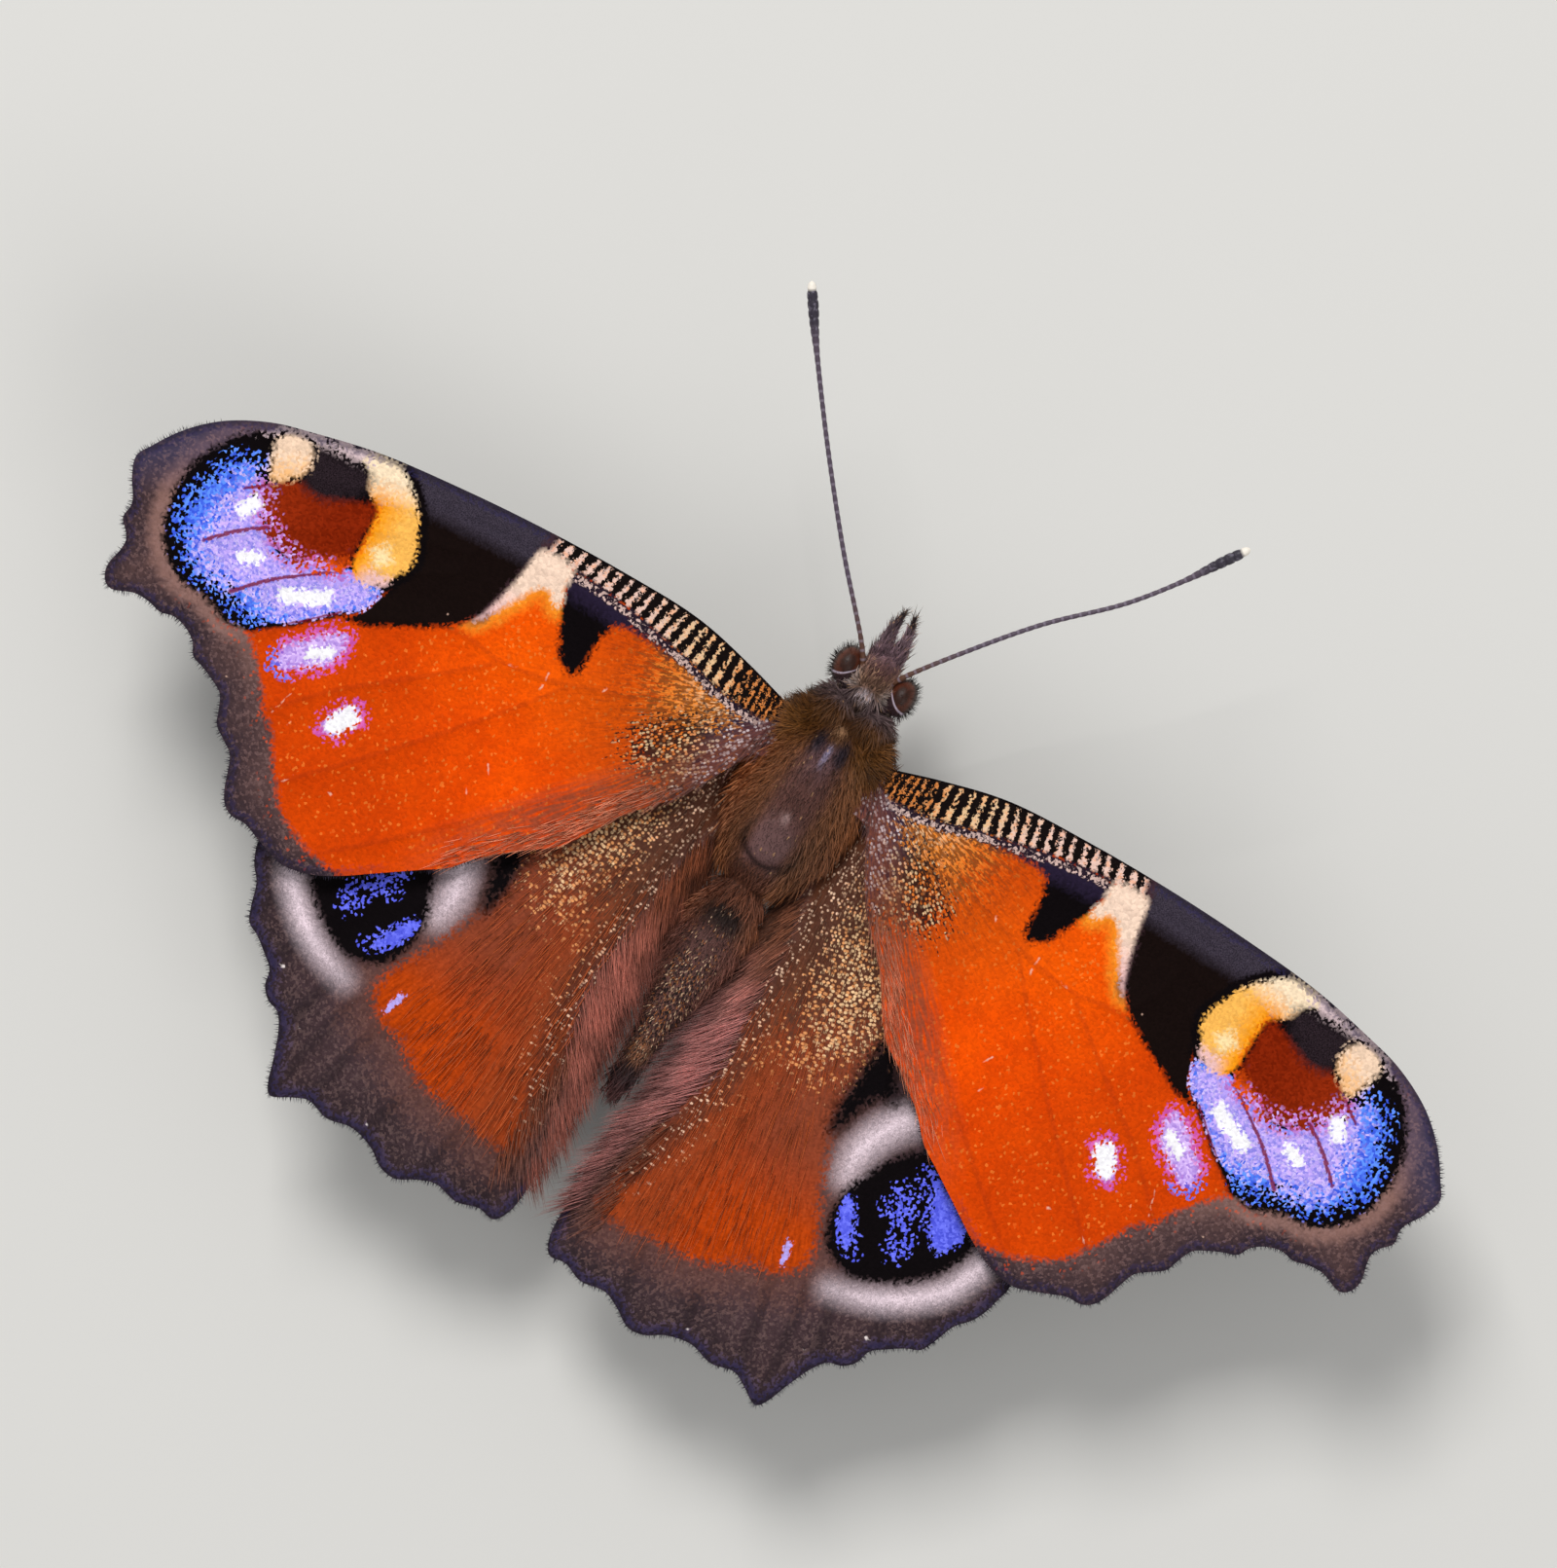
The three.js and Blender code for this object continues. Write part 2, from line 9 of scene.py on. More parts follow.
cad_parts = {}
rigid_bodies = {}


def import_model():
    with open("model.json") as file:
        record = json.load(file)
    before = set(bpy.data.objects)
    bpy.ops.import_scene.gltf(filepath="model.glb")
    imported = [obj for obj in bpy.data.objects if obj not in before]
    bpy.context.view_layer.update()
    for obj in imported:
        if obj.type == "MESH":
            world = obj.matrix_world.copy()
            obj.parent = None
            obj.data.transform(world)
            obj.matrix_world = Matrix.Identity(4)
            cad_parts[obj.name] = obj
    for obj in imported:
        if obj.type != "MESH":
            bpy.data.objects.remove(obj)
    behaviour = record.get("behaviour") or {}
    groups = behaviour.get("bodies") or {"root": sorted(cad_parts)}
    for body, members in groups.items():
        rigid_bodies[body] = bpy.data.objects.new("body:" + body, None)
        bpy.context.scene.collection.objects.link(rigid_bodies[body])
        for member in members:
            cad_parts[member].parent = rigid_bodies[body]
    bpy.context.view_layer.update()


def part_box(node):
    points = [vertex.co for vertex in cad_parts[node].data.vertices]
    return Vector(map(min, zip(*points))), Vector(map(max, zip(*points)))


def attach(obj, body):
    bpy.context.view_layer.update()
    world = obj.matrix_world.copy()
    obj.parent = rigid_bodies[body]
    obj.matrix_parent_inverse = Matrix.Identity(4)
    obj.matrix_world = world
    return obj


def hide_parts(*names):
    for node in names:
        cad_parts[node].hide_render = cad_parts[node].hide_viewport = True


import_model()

# The insect stands on the ground at Z = 0. Its pieces are given in millimetres from the body's own zero: the
# middle line of the trunk, level with the front hinges of the wings. +Y is the way it faces, +X its right.
MM = 0.001
THORAX_FRONT = 1.9
thorax_low, thorax_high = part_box("thorax")
ZERO_X = (thorax_low.x + thorax_high.x) / 2
ZERO_Y = thorax_high.y - THORAX_FRONT * MM


def in_row(points):
    """Body places in millimetres, turned into the frame's own metres."""
    places = np.asarray(points, float) * MM
    return places + np.array((ZERO_X, ZERO_Y, 0))


def in_body(places):
    """The frame's metres, turned back into body places in millimetres."""
    return (places - in_row((0, 0, 0))) / MM


# Camera: it looks down on the spread wings from a hand's length, a little off square, with the head to the
# upper right of the picture.
PHOTO_HEIGHT = 1611
MM_PER_PIXEL = 0.0433
CAMERA_PLACE = (7.0, -18.1, 359.5)
CAMERA_TILT = (math.radians(2.44), math.radians(1.33), 0)
CAMERA_TURN = math.radians(32.5)
CAMERA_DISTANCE = 348.5
camera = bpy.data.objects.new("camera", bpy.data.cameras.new("camera"))
camera.data.sensor_fit = "VERTICAL"
camera.data.sensor_height = 36
camera.data.lens = 36 * CAMERA_DISTANCE / (PHOTO_HEIGHT * MM_PER_PIXEL)
camera.data.clip_start = 0.01
camera.location = in_row(CAMERA_PLACE)
turned = Euler(CAMERA_TILT).to_matrix() @ Matrix.Rotation(CAMERA_TURN, 3, "Z")
camera.rotation_euler = turned.to_euler()
bpy.context.collection.objects.link(camera)
bpy.context.scene.camera = camera
bpy.context.scene.view_settings.view_transform = "Standard"


# Ground: a plain pale sheet, with a broad soft key light over the left shoulder, a weaker one opposite,
# and an even pale sky.
def paint(red, green, blue):
    """A colour as it looks on screen, 0 to 255, as the linear one that shaders take."""
    channels = np.array((red, green, blue)) / 255
    linear = np.where(channels < 0.04045, channels / 12.92, ((channels + 0.055) / 1.055) ** 2.4)
    return (*linear.tolist(), 1.0)


def raw(colour):
    """The same as paint, without the alpha, for a colour attribute."""
    return np.array(paint(*colour)[:3])


def arithmetic(operation, turned=False):
    """A method of Value that adds one maths node for itself and another value."""
    def apply(self, other):
        return self.maths(operation, *((other, self) if turned else (self, other)))
    return apply


class Value:
    """One socket of a node tree, so that its maths reads as plain arithmetic."""

    def __init__(self, nodes, socket):
        self.nodes = nodes
        self.socket = socket

    def maths(self, operation, *values, clamp=False):
        node = self.nodes.node("ShaderNodeMath", {"operation": operation, "use_clamp": clamp},
                               dict(enumerate(values)))
        return Value(self.nodes, node.outputs[0])

    __add__, __radd__ = arithmetic("ADD"), arithmetic("ADD", turned=True)
    __sub__, __rsub__ = arithmetic("SUBTRACT"), arithmetic("SUBTRACT", turned=True)
    __mul__, __rmul__ = arithmetic("MULTIPLY"), arithmetic("MULTIPLY", turned=True)
    __truediv__, power = arithmetic("DIVIDE"), arithmetic("POWER")
    either, both = arithmetic("MAXIMUM"), arithmetic("MINIMUM")

    def __abs__(self):
        return self.maths("ABSOLUTE", self)

    def sine(self):
        return self.maths("SINE", self)

    def over(self, edge, soft=0.1):
        """0 below the edge and 1 above it, passing over a breadth of soft."""
        return self.maths("ADD", (self - edge) / soft, 0.5, clamp=True)


class Nodes:
    """A node tree that is built one node at a time."""

    def node(self, kind, settings=None, sockets=None):
        """Adds a node: its settings first, then the values or links of its sockets."""
        node = self.tree.nodes.new(kind)
        for setting, value in (settings or {}).items():
            setattr(node, setting, value)
        for key, value in (sockets or {}).items():
            given = value.socket if isinstance(value, Value) else value
            if isinstance(given, bpy.types.NodeSocket):
                self.tree.links.new(given, node.inputs[key])
            else:
                node.inputs[key].default_value = given
        return node

    def value(self, kind, output=0, settings=None, sockets=None):
        """Adds a node and gives one of its outputs."""
        return Value(self, self.node(kind, settings, sockets).outputs[output])

    def parts(self, vector):
        """The three numbers of a vector."""
        split = self.node("ShaderNodeSeparateXYZ", sockets={0: vector})
        return [Value(self, output) for output in split.outputs]

    def vectors(self, operation, *values):
        """Vector maths. SCALE takes its number in a socket of its own."""
        scaling = operation == "SCALE"
        sockets = {0: values[0], "Scale": values[1]} if scaling else dict(enumerate(values))
        return self.value("ShaderNodeVectorMath", 0, {"operation": operation}, sockets)


class Finish(Nodes):
    """A node material on one Principled shader."""

    def __init__(self, name, roughness, specular):
        self.material = bpy.data.materials.new(name)
        self.material.use_nodes = True
        self.tree = self.material.node_tree
        self.shader = self.tree.nodes["Principled BSDF"]
        self.shader.inputs["Roughness"].default_value = roughness
        self.shader.inputs["Specular IOR Level"].default_value = specular

    def field(self, name, output="Fac"):
        """A number that the mesh carries."""
        return self.value("ShaderNodeAttribute", output, {"attribute_name": name})

    def vector(self, name):
        return self.field(name, "Vector")

    def colour(self, name):
        return self.field(name, "Color")

    def fields(self, name):
        """Three numbers that the mesh carries as one vector."""
        return self.parts(self.vector(name))

    def place(self, stretch=(1, 1, 1)):
        """Where a point of the piece is, in millimetres."""
        place = self.value("ShaderNodeTexCoord", "Object")
        return self.stretched(place, tuple(share / MM for share in stretch))

    def stretched(self, vector, scale):
        return self.vectors("MULTIPLY", vector, scale)

    def noise(self, vector, scale, detail=2.0, roughness=0.5):
        return self.value("ShaderNodeTexNoise", "Fac", {"noise_dimensions": "3D"},
                          {"Vector": vector, "Scale": scale, "Detail": detail, "Roughness": roughness})

    def cells(self, vector, scale, across="2D"):
        """Small cells: how far a point is from its cell's middle, and two random numbers for the cell."""
        node = self.node("ShaderNodeTexVoronoi", {"voronoi_dimensions": across},
                         {"Vector": vector, "Scale": scale})
        parts = self.node("ShaderNodeSeparateColor", sockets={0: node.outputs["Color"]})
        return [Value(self, output) for output in (node.outputs["Distance"], *parts.outputs[:2])]

    def mix(self, factor, under, over):
        """Colours: under where the factor is 0, over where it is 1."""
        return self.value("ShaderNodeMix", 2, {"data_type": "RGBA"}, {0: factor, 6: under, 7: over})

    def layered(self, colour, layers):
        """Lays colours over the first one in turn. Each layer is a factor and its colour."""
        for factor, over in layers:
            colour = self.mix(factor, colour, over)
        return colour

    def darken(self, colour, factor):
        """A colour times a number."""
        return self.vectors("SCALE", colour, factor)

    def done(self, colour, bump=None, depth=0.02):
        """Links the finished colour, and relief of a depth in millimetres, to the shader."""
        self.tree.links.new(colour.socket, self.shader.inputs["Base Color"])
        if bump is not None:
            relief = {"Height": bump, "Strength": 1.0, "Distance": depth * MM}
            normal = self.value("ShaderNodeBump", sockets=relief)
            self.tree.links.new(normal.socket, self.shader.inputs["Normal"])
        return self.material


GROUND_SIZE = 3.0
ground_mesh = bpy.data.meshes.new("ground")
half = GROUND_SIZE / 2
corners = [(-half, -half, 0), (half, -half, 0), (half, half, 0), (-half, half, 0)]
ground_mesh.from_pydata(corners, [], [(0, 1, 2, 3)])
ground = bpy.data.objects.new("ground", ground_mesh)
bpy.context.collection.objects.link(ground)
ground_finish = Finish("pale_ground", roughness=0.9, specular=0.1)
ground_finish.shader.inputs["Base Color"].default_value = paint(226, 224, 219)
ground_mesh.materials.append(ground_finish.material)

sky = bpy.data.worlds.new("sky")
sky.use_nodes = True
sky.node_tree.nodes["Background"].inputs["Color"].default_value = (0.95, 0.97, 1.0, 1)
sky.node_tree.nodes["Background"].inputs["Strength"].default_value = 0.4
bpy.context.scene.world = sky


def softbox(name, place, size, power):
    """A square light that faces the body."""
    light = bpy.data.lights.new(name, "AREA")
    light.size = size
    light.energy = power
    lamp = bpy.data.objects.new(name, light)
    lamp.location = place
    lamp.rotation_euler = (Vector(place) - Vector((0, 0, 0.008))).to_track_quat("Z", "Y").to_euler()
    bpy.context.collection.objects.link(lamp)


softbox("key_light", (-0.32, 0.3, 0.62), 0.28, 3.4)
softbox("fill_light", (0.5, -0.25, 0.5), 0.4, 1.0)


# Wings: each is one thin sheet of chitin held out by its veins and tiled on both faces with coloured scales.
# The forewing lies over the hindwing, and both are rooted deep in the sides of the thorax.
WING_THICKNESS = 0.12
WING = {"root_x": 3.0, "root_z": 9.3, "rise": 0.08, "arch": 0.0012, "chord_y": -6.0, "camber": 0.0012}
HINDWING_DROP = 1.1
GUTTER = {"inner": 1.0, "outer": 4.5, "depth": 1.1}
LEFT_HINGE = (2.75, 0.2)
LEFT_SWEEP_BACK = math.radians(5.9)
VEIN_RIDGE = {"rise": 0.07, "half_width": 0.15}
SAG = {"depth": 0.12, "reach": 0.9}
MESH_STEP = 0.2
OUTLINE_STEP, LINE_STEP = 0.25, 0.3
SHARP_EDGE = math.radians(50)
WAYS_STRETCH = (0.22, 1.6, 1)
SCALES_PER_MM, GRAINS_PER_MM, STREAKS_PER_MM = 9.0, 16.0, 6.0

FOREWING_EDGE = [
    (1.6, -0.3), (3.05, 0.2), (5, 0.88), (8, 1.7), (12, 2.05), (16, 2.18), (20, 2.13), (24, 1.9), (27, 1.4),
    (29, 0.94), (31, 0), (32.4, -1.2), (33.3, -2.4), (33.7, -3.05), (33.45, -4), (33, -4.8), (32.9, -5.2),
    (33, -5.8), (32.6, -6.3), (32.4, -6.7), (32.45, -7.2), (32.65, -8), (32.5, -8.6), (32.1, -8.9),
    (31, -8.6), (30.3, -8.65), (29.6, -8.85), (29, -8.75), (28.3, -8.95), (27.7, -9.4), (27.4, -9.95),
    (26.8, -10.2), (26.2, -10.5), (25.6, -10.9), (25.3, -11.6), (25.1, -12.2), (24.5, -12.7), (24, -13.1),
    (23.7, -13.9), (23.5, -14.6), (23.2, -15.2), (22.7, -15.55), (22, -15.6), (21.3, -15.9), (20.6, -16.2),
    (19.7, -16.5), (18.3, -16.3), (17, -15.7), (16, -15.1), (14, -13.9), (13, -13.3), (12, -12.3),
    (10.2, -11), (9, -10.2), (7, -7.6), (5.1, -5.7), (3.7, -3.5), (3.2, -2.7), (1.6, -2.2),
]
FOREWING_VEINS = [
    [(3, -0.7), (7, -0.35), (11, 0.25), (15, 0.6), (18, 0.6), (22, 0.3), (26, -0.4), (30, -2.1), (33, -4.7)],
    [(3, -1.2), (7, -2.1), (10.2, -3.1), (13, -3.85), (15, -4), (17.5, -3.7), (21.6, -5.1), (24.6, -7.2),
     (27.2, -9.8)],
    [(18, 0.9), (18.4, -0.4), (18.4, -1.3), (17.4, -3.6)],
    [(18.4, -0.3), (22, -1.1), (26, -2.9), (29.3, -5.1), (32.1, -8.2)],
    [(18.4, -1.3), (23.3, -3.7), (27, -6.3), (29.4, -8.6)],
    [(3.4, -0.1), (6, 0.55), (9, 1.1), (12, 1.3), (16, 1.45), (21, 1.2), (25, 0.95), (28.6, 0.35)],
    [(26.5, -0.3), (30, -0.9), (32.9, -2.8)],
    [(15.2, -4.2), (18, -6.3), (21.2, -8.6), (24.8, -12)],
    [(11.9, -3.7), (13, -5), (15.5, -7.6), (19.3, -11.3), (23.2, -14.8)],
    [(3.2, -1.8), (6, -4.4), (10, -8.3), (15, -12.6), (19.3, -16)],
]
HINDWING_EDGE = [
    (1.6, -2.9), (3.3, -2.7), (8, -3.8), (13, -7), (17, -11.5), (19.1, -14.8), (19.65, -16.6), (19.5, -17.4),
    (19.3, -18.2), (19, -18.8), (18.5, -19.4), (18.1, -20.5), (17.8, -21.1), (17.2, -21.4), (16.5, -21.9),
    (15.9, -22.4), (15.7, -23.1), (15.2, -23.6), (14.6, -23.8), (14.1, -24.5), (13.8, -25.2), (13.5, -26),
    (13.3, -26.6), (12.9, -27.15), (12, -26.7), (11.3, -26.4), (10.2, -26.65), (9, -26.4), (7.8, -26.7),
    (7, -27.2), (6.2, -27.3), (5.3, -26.8), (4.5, -26.5), (3.3, -26.7), (2.3, -26.4), (1.5, -26.5),
    (1.1, -25.9), (0.95, -25), (0.95, -24), (1, -22.5), (1.05, -21), (1.25, -19.3), (1.5, -17), (1.6, -12),
    (1.6, -7),
]
HINDWING_VEINS = [
    [(3.2, -3.7), (8, -5.2), (13, -8.5), (17.3, -13), (19.1, -17)],
    [(3.4, -4.9), (5.2, -7.6), (6.8, -11.4), (8.1, -16), (9.8, -20.6), (10.6, -23), (11.3, -26.3)],
    [(3.3, -4.3), (6, -6), (9, -8.6), (12.4, -12), (15.7, -15.8), (18, -20)],
    [(9, -8.6), (12.5, -14), (15, -19), (16, -21.9)],
    [(6, -9.2), (8.8, -10), (11, -14.5), (13, -20), (14, -23.8)],
    [(8.8, -10.6), (9.7, -16), (11.3, -20), (12, -22.4), (12.9, -26.6)],
    [(5.6, -9.4), (6.5, -16), (7.7, -22), (8.3, -26.2)],
    [(3.4, -5.8), (4.4, -12), (4.9, -19), (5.3, -26.4)],
    [(3, -8.5), (3, -13), (2.7, -19), (2.6, -26.2)],
]


def smooth_line(points, step, closed=False):
    """A smooth line through points, cut into even steps. A closed one doesn't repeat its first point."""
    points = np.asarray(points, float)
    count = len(points)
    spans = count if closed else count - 1
    fine = []
    for index in range(spans):
        if closed:
            a, b, c, d = (points[(index + shift) % count] for shift in (-1, 0, 1, 2))
        else:
            b, c = points[index], points[index + 1]
            a = points[index - 1] if index else 2 * b - c
            d = points[index + 2] if index + 2 < count else 2 * c - b
        pairs = ((a, b), (b, c), (c, d))
        knots = np.cumsum([0] + [max(1e-6, np.linalg.norm(q - p)) ** 0.5 for p, q in pairs])
        t = np.linspace(knots[1], knots[2], 13)[:-1, None]

        def between(p, q, low, high):
            return p + (q - p) * (t - low) / (high - low)

        ab, bc, cd = (between(p, q, knots[k], knots[k + 1]) for k, (p, q) in enumerate(pairs))
        abc, bcd = between(ab, bc, knots[0], knots[2]), between(bc, cd, knots[1], knots[3])
        fine.append(between(abc, bcd, knots[1], knots[2]))
    fine = np.vstack([*fine, points[:1] if closed else points[-1:]])
    reach = np.concatenate([[0], np.cumsum(np.linalg.norm(np.diff(fine, axis=0), axis=1))])
    steps = max(1, round(reach[-1] / step))
    at = np.linspace(0, reach[-1], steps + 1)
    line = np.stack([np.interp(at, reach, fine[:, axis]) for axis in range(points.shape[1])], axis=1)
    return line[:-1] if closed else line


def from_line(points, line, closed=False):
    """Each point's distance from a line."""
    starts = line if closed else line[:-1]
    ends = np.roll(line, -1, axis=0) if closed else line[1:]
    nearest = np.full(len(points), np.inf)
    for start, end in zip(starts, ends):
        along = end - start
        share = np.clip((points - start) @ along / max(1e-12, along @ along), 0, 1)
        nearest = np.minimum(nearest, np.linalg.norm(points - start - share[:, None] * along, axis=1))
    return nearest


def depth_in(points, outline, smooth=True):
    """How deep each point lies inside an outline: less than 0 outside it."""
    line = smooth_line(outline, OUTLINE_STEP, closed=True) if smooth else np.asarray(outline, float)
    inside = np.zeros(len(points), bool)
    x, y = points[:, 0], points[:, 1]
    for (ax, ay), (bx, by) in zip(line, np.roll(line, -1, axis=0)):
        crossed = (ay > y) != (by > y)
        if by != ay:
            inside ^= crossed & (x < ax + (bx - ax) * (y - ay) / (by - ay))
    return np.where(inside, 1, -1) * from_line(points, line, closed=True)


def deepest(points, outlines):
    return np.max([depth_in(points, outline) for outline in outlines], axis=0)


def spot_depth(points, spots):
    """Depth inside the nearest of several long spots, given by their ends and half breadth."""
    depths = [half_width - from_line(points, np.array((start, end), float))
              for start, end, half_width in spots]
    return np.max(depths, axis=0)


def within(values, low, high):
    """0 at low, 1 at high, smooth between."""
    share = np.clip((np.asarray(values, float) - low) / (high - low), 0, 1)
    return share * share * (3 - 2 * share)


def forewing_height(x, y):
    out = np.abs(x) - WING["root_x"]
    return (WING["root_z"] + WING["rise"] * out - WING["arch"] * out * out
            - WING["camber"] * (y - WING["chord_y"]) ** 2)


def hindwing_height(x, y):
    inward = 1 - within(np.abs(x), GUTTER["inner"], GUTTER["outer"])
    return forewing_height(x, y) - HINDWING_DROP - GUTTER["depth"] * inward


def wing_plan(edge, veins):
    """Flat points and triangles of a right wing, with rows of points along its edge and its veins."""
    line = smooth_line(edge, MESH_STEP, closed=True)
    rows = [line]
    for vein in veins:
        crest = smooth_line(vein, MESH_STEP)
        way = np.gradient(crest, axis=0)
        across = np.stack([-way[:, 1], way[:, 0]], axis=1) / np.linalg.norm(way, axis=1)[:, None]
        rows += [crest, crest + across * VEIN_RIDGE["half_width"], crest - across * VEIN_RIDGE["half_width"]]
    low, high = line.min(axis=0), line.max(axis=0)
    row_height = MESH_STEP * math.sqrt(0.75)
    for index, y in enumerate(np.arange(low[1], high[1], row_height)):
        x = np.arange(low[0], high[0], MESH_STEP) + (index % 2) * MESH_STEP / 2
        rows.append(np.stack([x, np.full(len(x), y)], axis=1))
    loose = np.vstack(rows[1:])
    loose = loose[depth_in(loose, line, smooth=False) > MESH_STEP * 0.6]
    taken = {}
    clear = MESH_STEP * 0.55
    points = [tuple(point) for point in line]
    for x, y in loose:
        cell = (int(x // clear), int(y // clear))
        near = [taken.get((cell[0] + i, cell[1] + j), ()) for i in (-1, 0, 1) for j in (-1, 0, 1)]
        if all(math.hypot(x - px, y - py) > clear for group in near for px, py in group):
            taken.setdefault(cell, []).append((x, y))
            points.append((x, y))
    edges = [(index, (index + 1) % len(line)) for index in range(len(line))]
    found = delaunay_2d_cdt([Vector(point) for point in points], edges, [], 1, 1e-7)
    return np.array([tuple(point) for point in found[0]]), np.array(found[2]), len(line)


def straight(points):
    return points


def mirrored(points):
    return points * np.array((-1, 1))


def swept_back(points):
    out = points - np.array(LEFT_HINGE)
    cosine, sine = math.cos(LEFT_SWEEP_BACK), math.sin(LEFT_SWEEP_BACK)
    return np.stack([-(LEFT_HINGE[0] + out[:, 0] * cosine + out[:, 1] * sine),
                     LEFT_HINGE[1] + out[:, 1] * cosine - out[:, 0] * sine], axis=1)


FOREWING_SIDES = (("right", straight), ("left", swept_back))
HINDWING_SIDES = (("right", straight), ("left", mirrored))


def new_mesh(name, points, faces, fields=()):
    """A mesh in the row's frame, with named numbers, vectors or colours on its points."""
    mesh = bpy.data.meshes.new(name)
    mesh.from_pydata(in_row(points).tolist(), [], [[int(corner) for corner in face] for face in faces])
    for field, values in dict(fields).items():
        values = np.asarray(values, np.float32)
        kind, slot = ("FLOAT", "value") if values.ndim == 1 else ("FLOAT_VECTOR", "vector")
        mesh.attributes.new(field, kind, "POINT").data.foreach_set(slot, values.ravel())
    mesh.polygons.foreach_set("use_smooth", [True] * len(mesh.polygons))
    return mesh


def add_piece(name, mesh, materials, slot, *nodes):
    """Shows a finished mesh as a piece of the insect, in place of CAD nodes where it has them."""
    mesh.name = name
    piece = bpy.data.objects.new(name, mesh)
    bpy.context.collection.objects.link(piece)
    for material in materials:
        mesh.materials.append(material)
    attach(piece, "root")
    if nodes:
        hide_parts(*nodes)


def wing_mesh(name, plan, veins, height, lift, place, fields):
    """A closed sheet over a flat plan: two faces alike and a wall round the edge. Slot 1 is the underside."""
    points, faces, _ = plan
    flat = place(points)
    nearest = np.min([from_line(points, smooth_line(vein, LINE_STEP)) for vein in veins], axis=0)
    ridge = VEIN_RIDGE["rise"] * np.exp(-(nearest / VEIN_RIDGE["half_width"]) ** 2)
    sag = SAG["depth"] * (1 - np.exp(-(nearest / SAG["reach"]) ** 2)) * within(fields["rim"][:, 0], 0, 1.5)
    z = height(flat[:, 0], flat[:, 1]) + lift + ridge - sag
    top = np.column_stack([flat, z + WING_THICKNESS / 2])
    bottom = np.column_stack([flat, z - WING_THICKNESS / 2])
    if place is not straight:
        faces = faces[:, ::-1]
    count = len(points)
    pairs = {}
    for a, b, c in faces.tolist():
        for pair in ((a, b), (b, c), (c, a)):
            pairs[pair] = pairs.get(pair, 0) + 1
    rim = np.array([pair for pair in pairs if pair[::-1] not in pairs])
    wall = np.vstack([
        np.column_stack([rim[:, 0], rim[:, 0] + count, rim[:, 1] + count]),
        np.column_stack([rim[:, 0], rim[:, 1] + count, rim[:, 1]]),
    ])
    doubled = {field: np.concatenate([values, values]) for field, values in fields.items()}
    doubled["vein"] = np.concatenate([nearest, nearest])
    mesh = new_mesh(name, np.vstack([top, bottom]), np.vstack([faces, faces[:, ::-1] + count, wall]), doubled)
    under = np.zeros(len(mesh.polygons), int)
    under[len(faces):2 * len(faces)] = 1
    mesh.polygons.foreach_set("material_index", under.tolist())
    mesh.set_sharp_from_angle(angle=SHARP_EDGE)
    unwrap_flat(mesh, np.vstack([points, points]), under)
    return mesh


def numbers_of(items, field, width=1, kind=np.float32):
    """One property of many mesh items at once: a number each, or a row of them where the width is 3."""
    values = np.zeros(len(items) * width, kind)
    items.foreach_get(field, values)
    return values.reshape(-1, width) if width > 1 else values


def write_map(mesh, places):
    """The baking map: a place on it for each corner of the mesh."""
    mesh.uv_layers.new(name="OFBake").data.foreach_set("uv", np.asarray(places, np.float32).ravel())


def unwrap_flat(mesh, points, under):
    """Maps a flat piece: its plan once for the upper side, and once beside it for the underside."""
    low, high = points.min(axis=0), points.max(axis=0)
    size = max((high - low) * np.array((2.1, 1.05)))
    places = (points[numbers_of(mesh.loops, "vertex_index", kind=int)] - low) / size + 0.01
    places[:, 0] += np.repeat(under, 3) * 0.5
    write_map(mesh, places)


def rays_from(points, root, breadth):
    """Distance from the wing's root, and the way round it as a breadth at that many millimetres out."""
    out = points - np.array(root)
    return np.column_stack([np.linalg.norm(out, axis=1), np.arctan2(out[:, 1], out[:, 0]) * breadth])


# Forewing: rust-orange, with a costal band of slanting cream and black stripes, two black bars with a cream
# patch between them, the large eyespot at the tip, two more violet spots and a grey-brown border.
FOREWING_ROOT = (1.5, 0.3)
FOREWING_LIFT = -0.12
STRIPES = {"start": 3.3, "first": 0.48, "growth": 0.0145, "slant": 0.28}
STRIPE_ZONE = [
    (2.6, 0), (3.2, 1.5), (8, 2.8), (15.75, 3), (15.75, 1.2), (15, 1.1), (13, 1), (12, 0.85), (11, 0.65),
    (10, 0.4), (9, 0.15), (8, -0.1), (7, -0.4), (6, -0.75), (5, -0.95), (4, -1.1), (3, -0.9),
]
FIRST_BAR = [
    (7.6, -0.45), (9, 0), (10, 0.3), (11, 0.55), (12.5, 0.85), (14, 1), (13.95, 0.2), (13.7, -0.6),
    (13.25, -1.5), (13, -2.2), (12.6, -2.8), (12, -3.1), (11.7, -2.7), (11.6, -1.7), (11.5, -0.8),
    (11.2, -0.25), (10.5, -0.08), (9.6, -0.12), (8.6, -0.32),
]
CREAM_PATCH = [
    (13.95, 1.15), (15.75, 1.25), (15.95, 0), (16.2, -1), (16.6, -2.2), (17, -3), (16.5, -2.45), (16, -1.75),
    (15.6, -1.15), (15.2, -0.55), (14.8, -0.2), (14.35, -0.3), (13.95, -0.75), (13.75, -0.6), (13.9, 0.2),
]
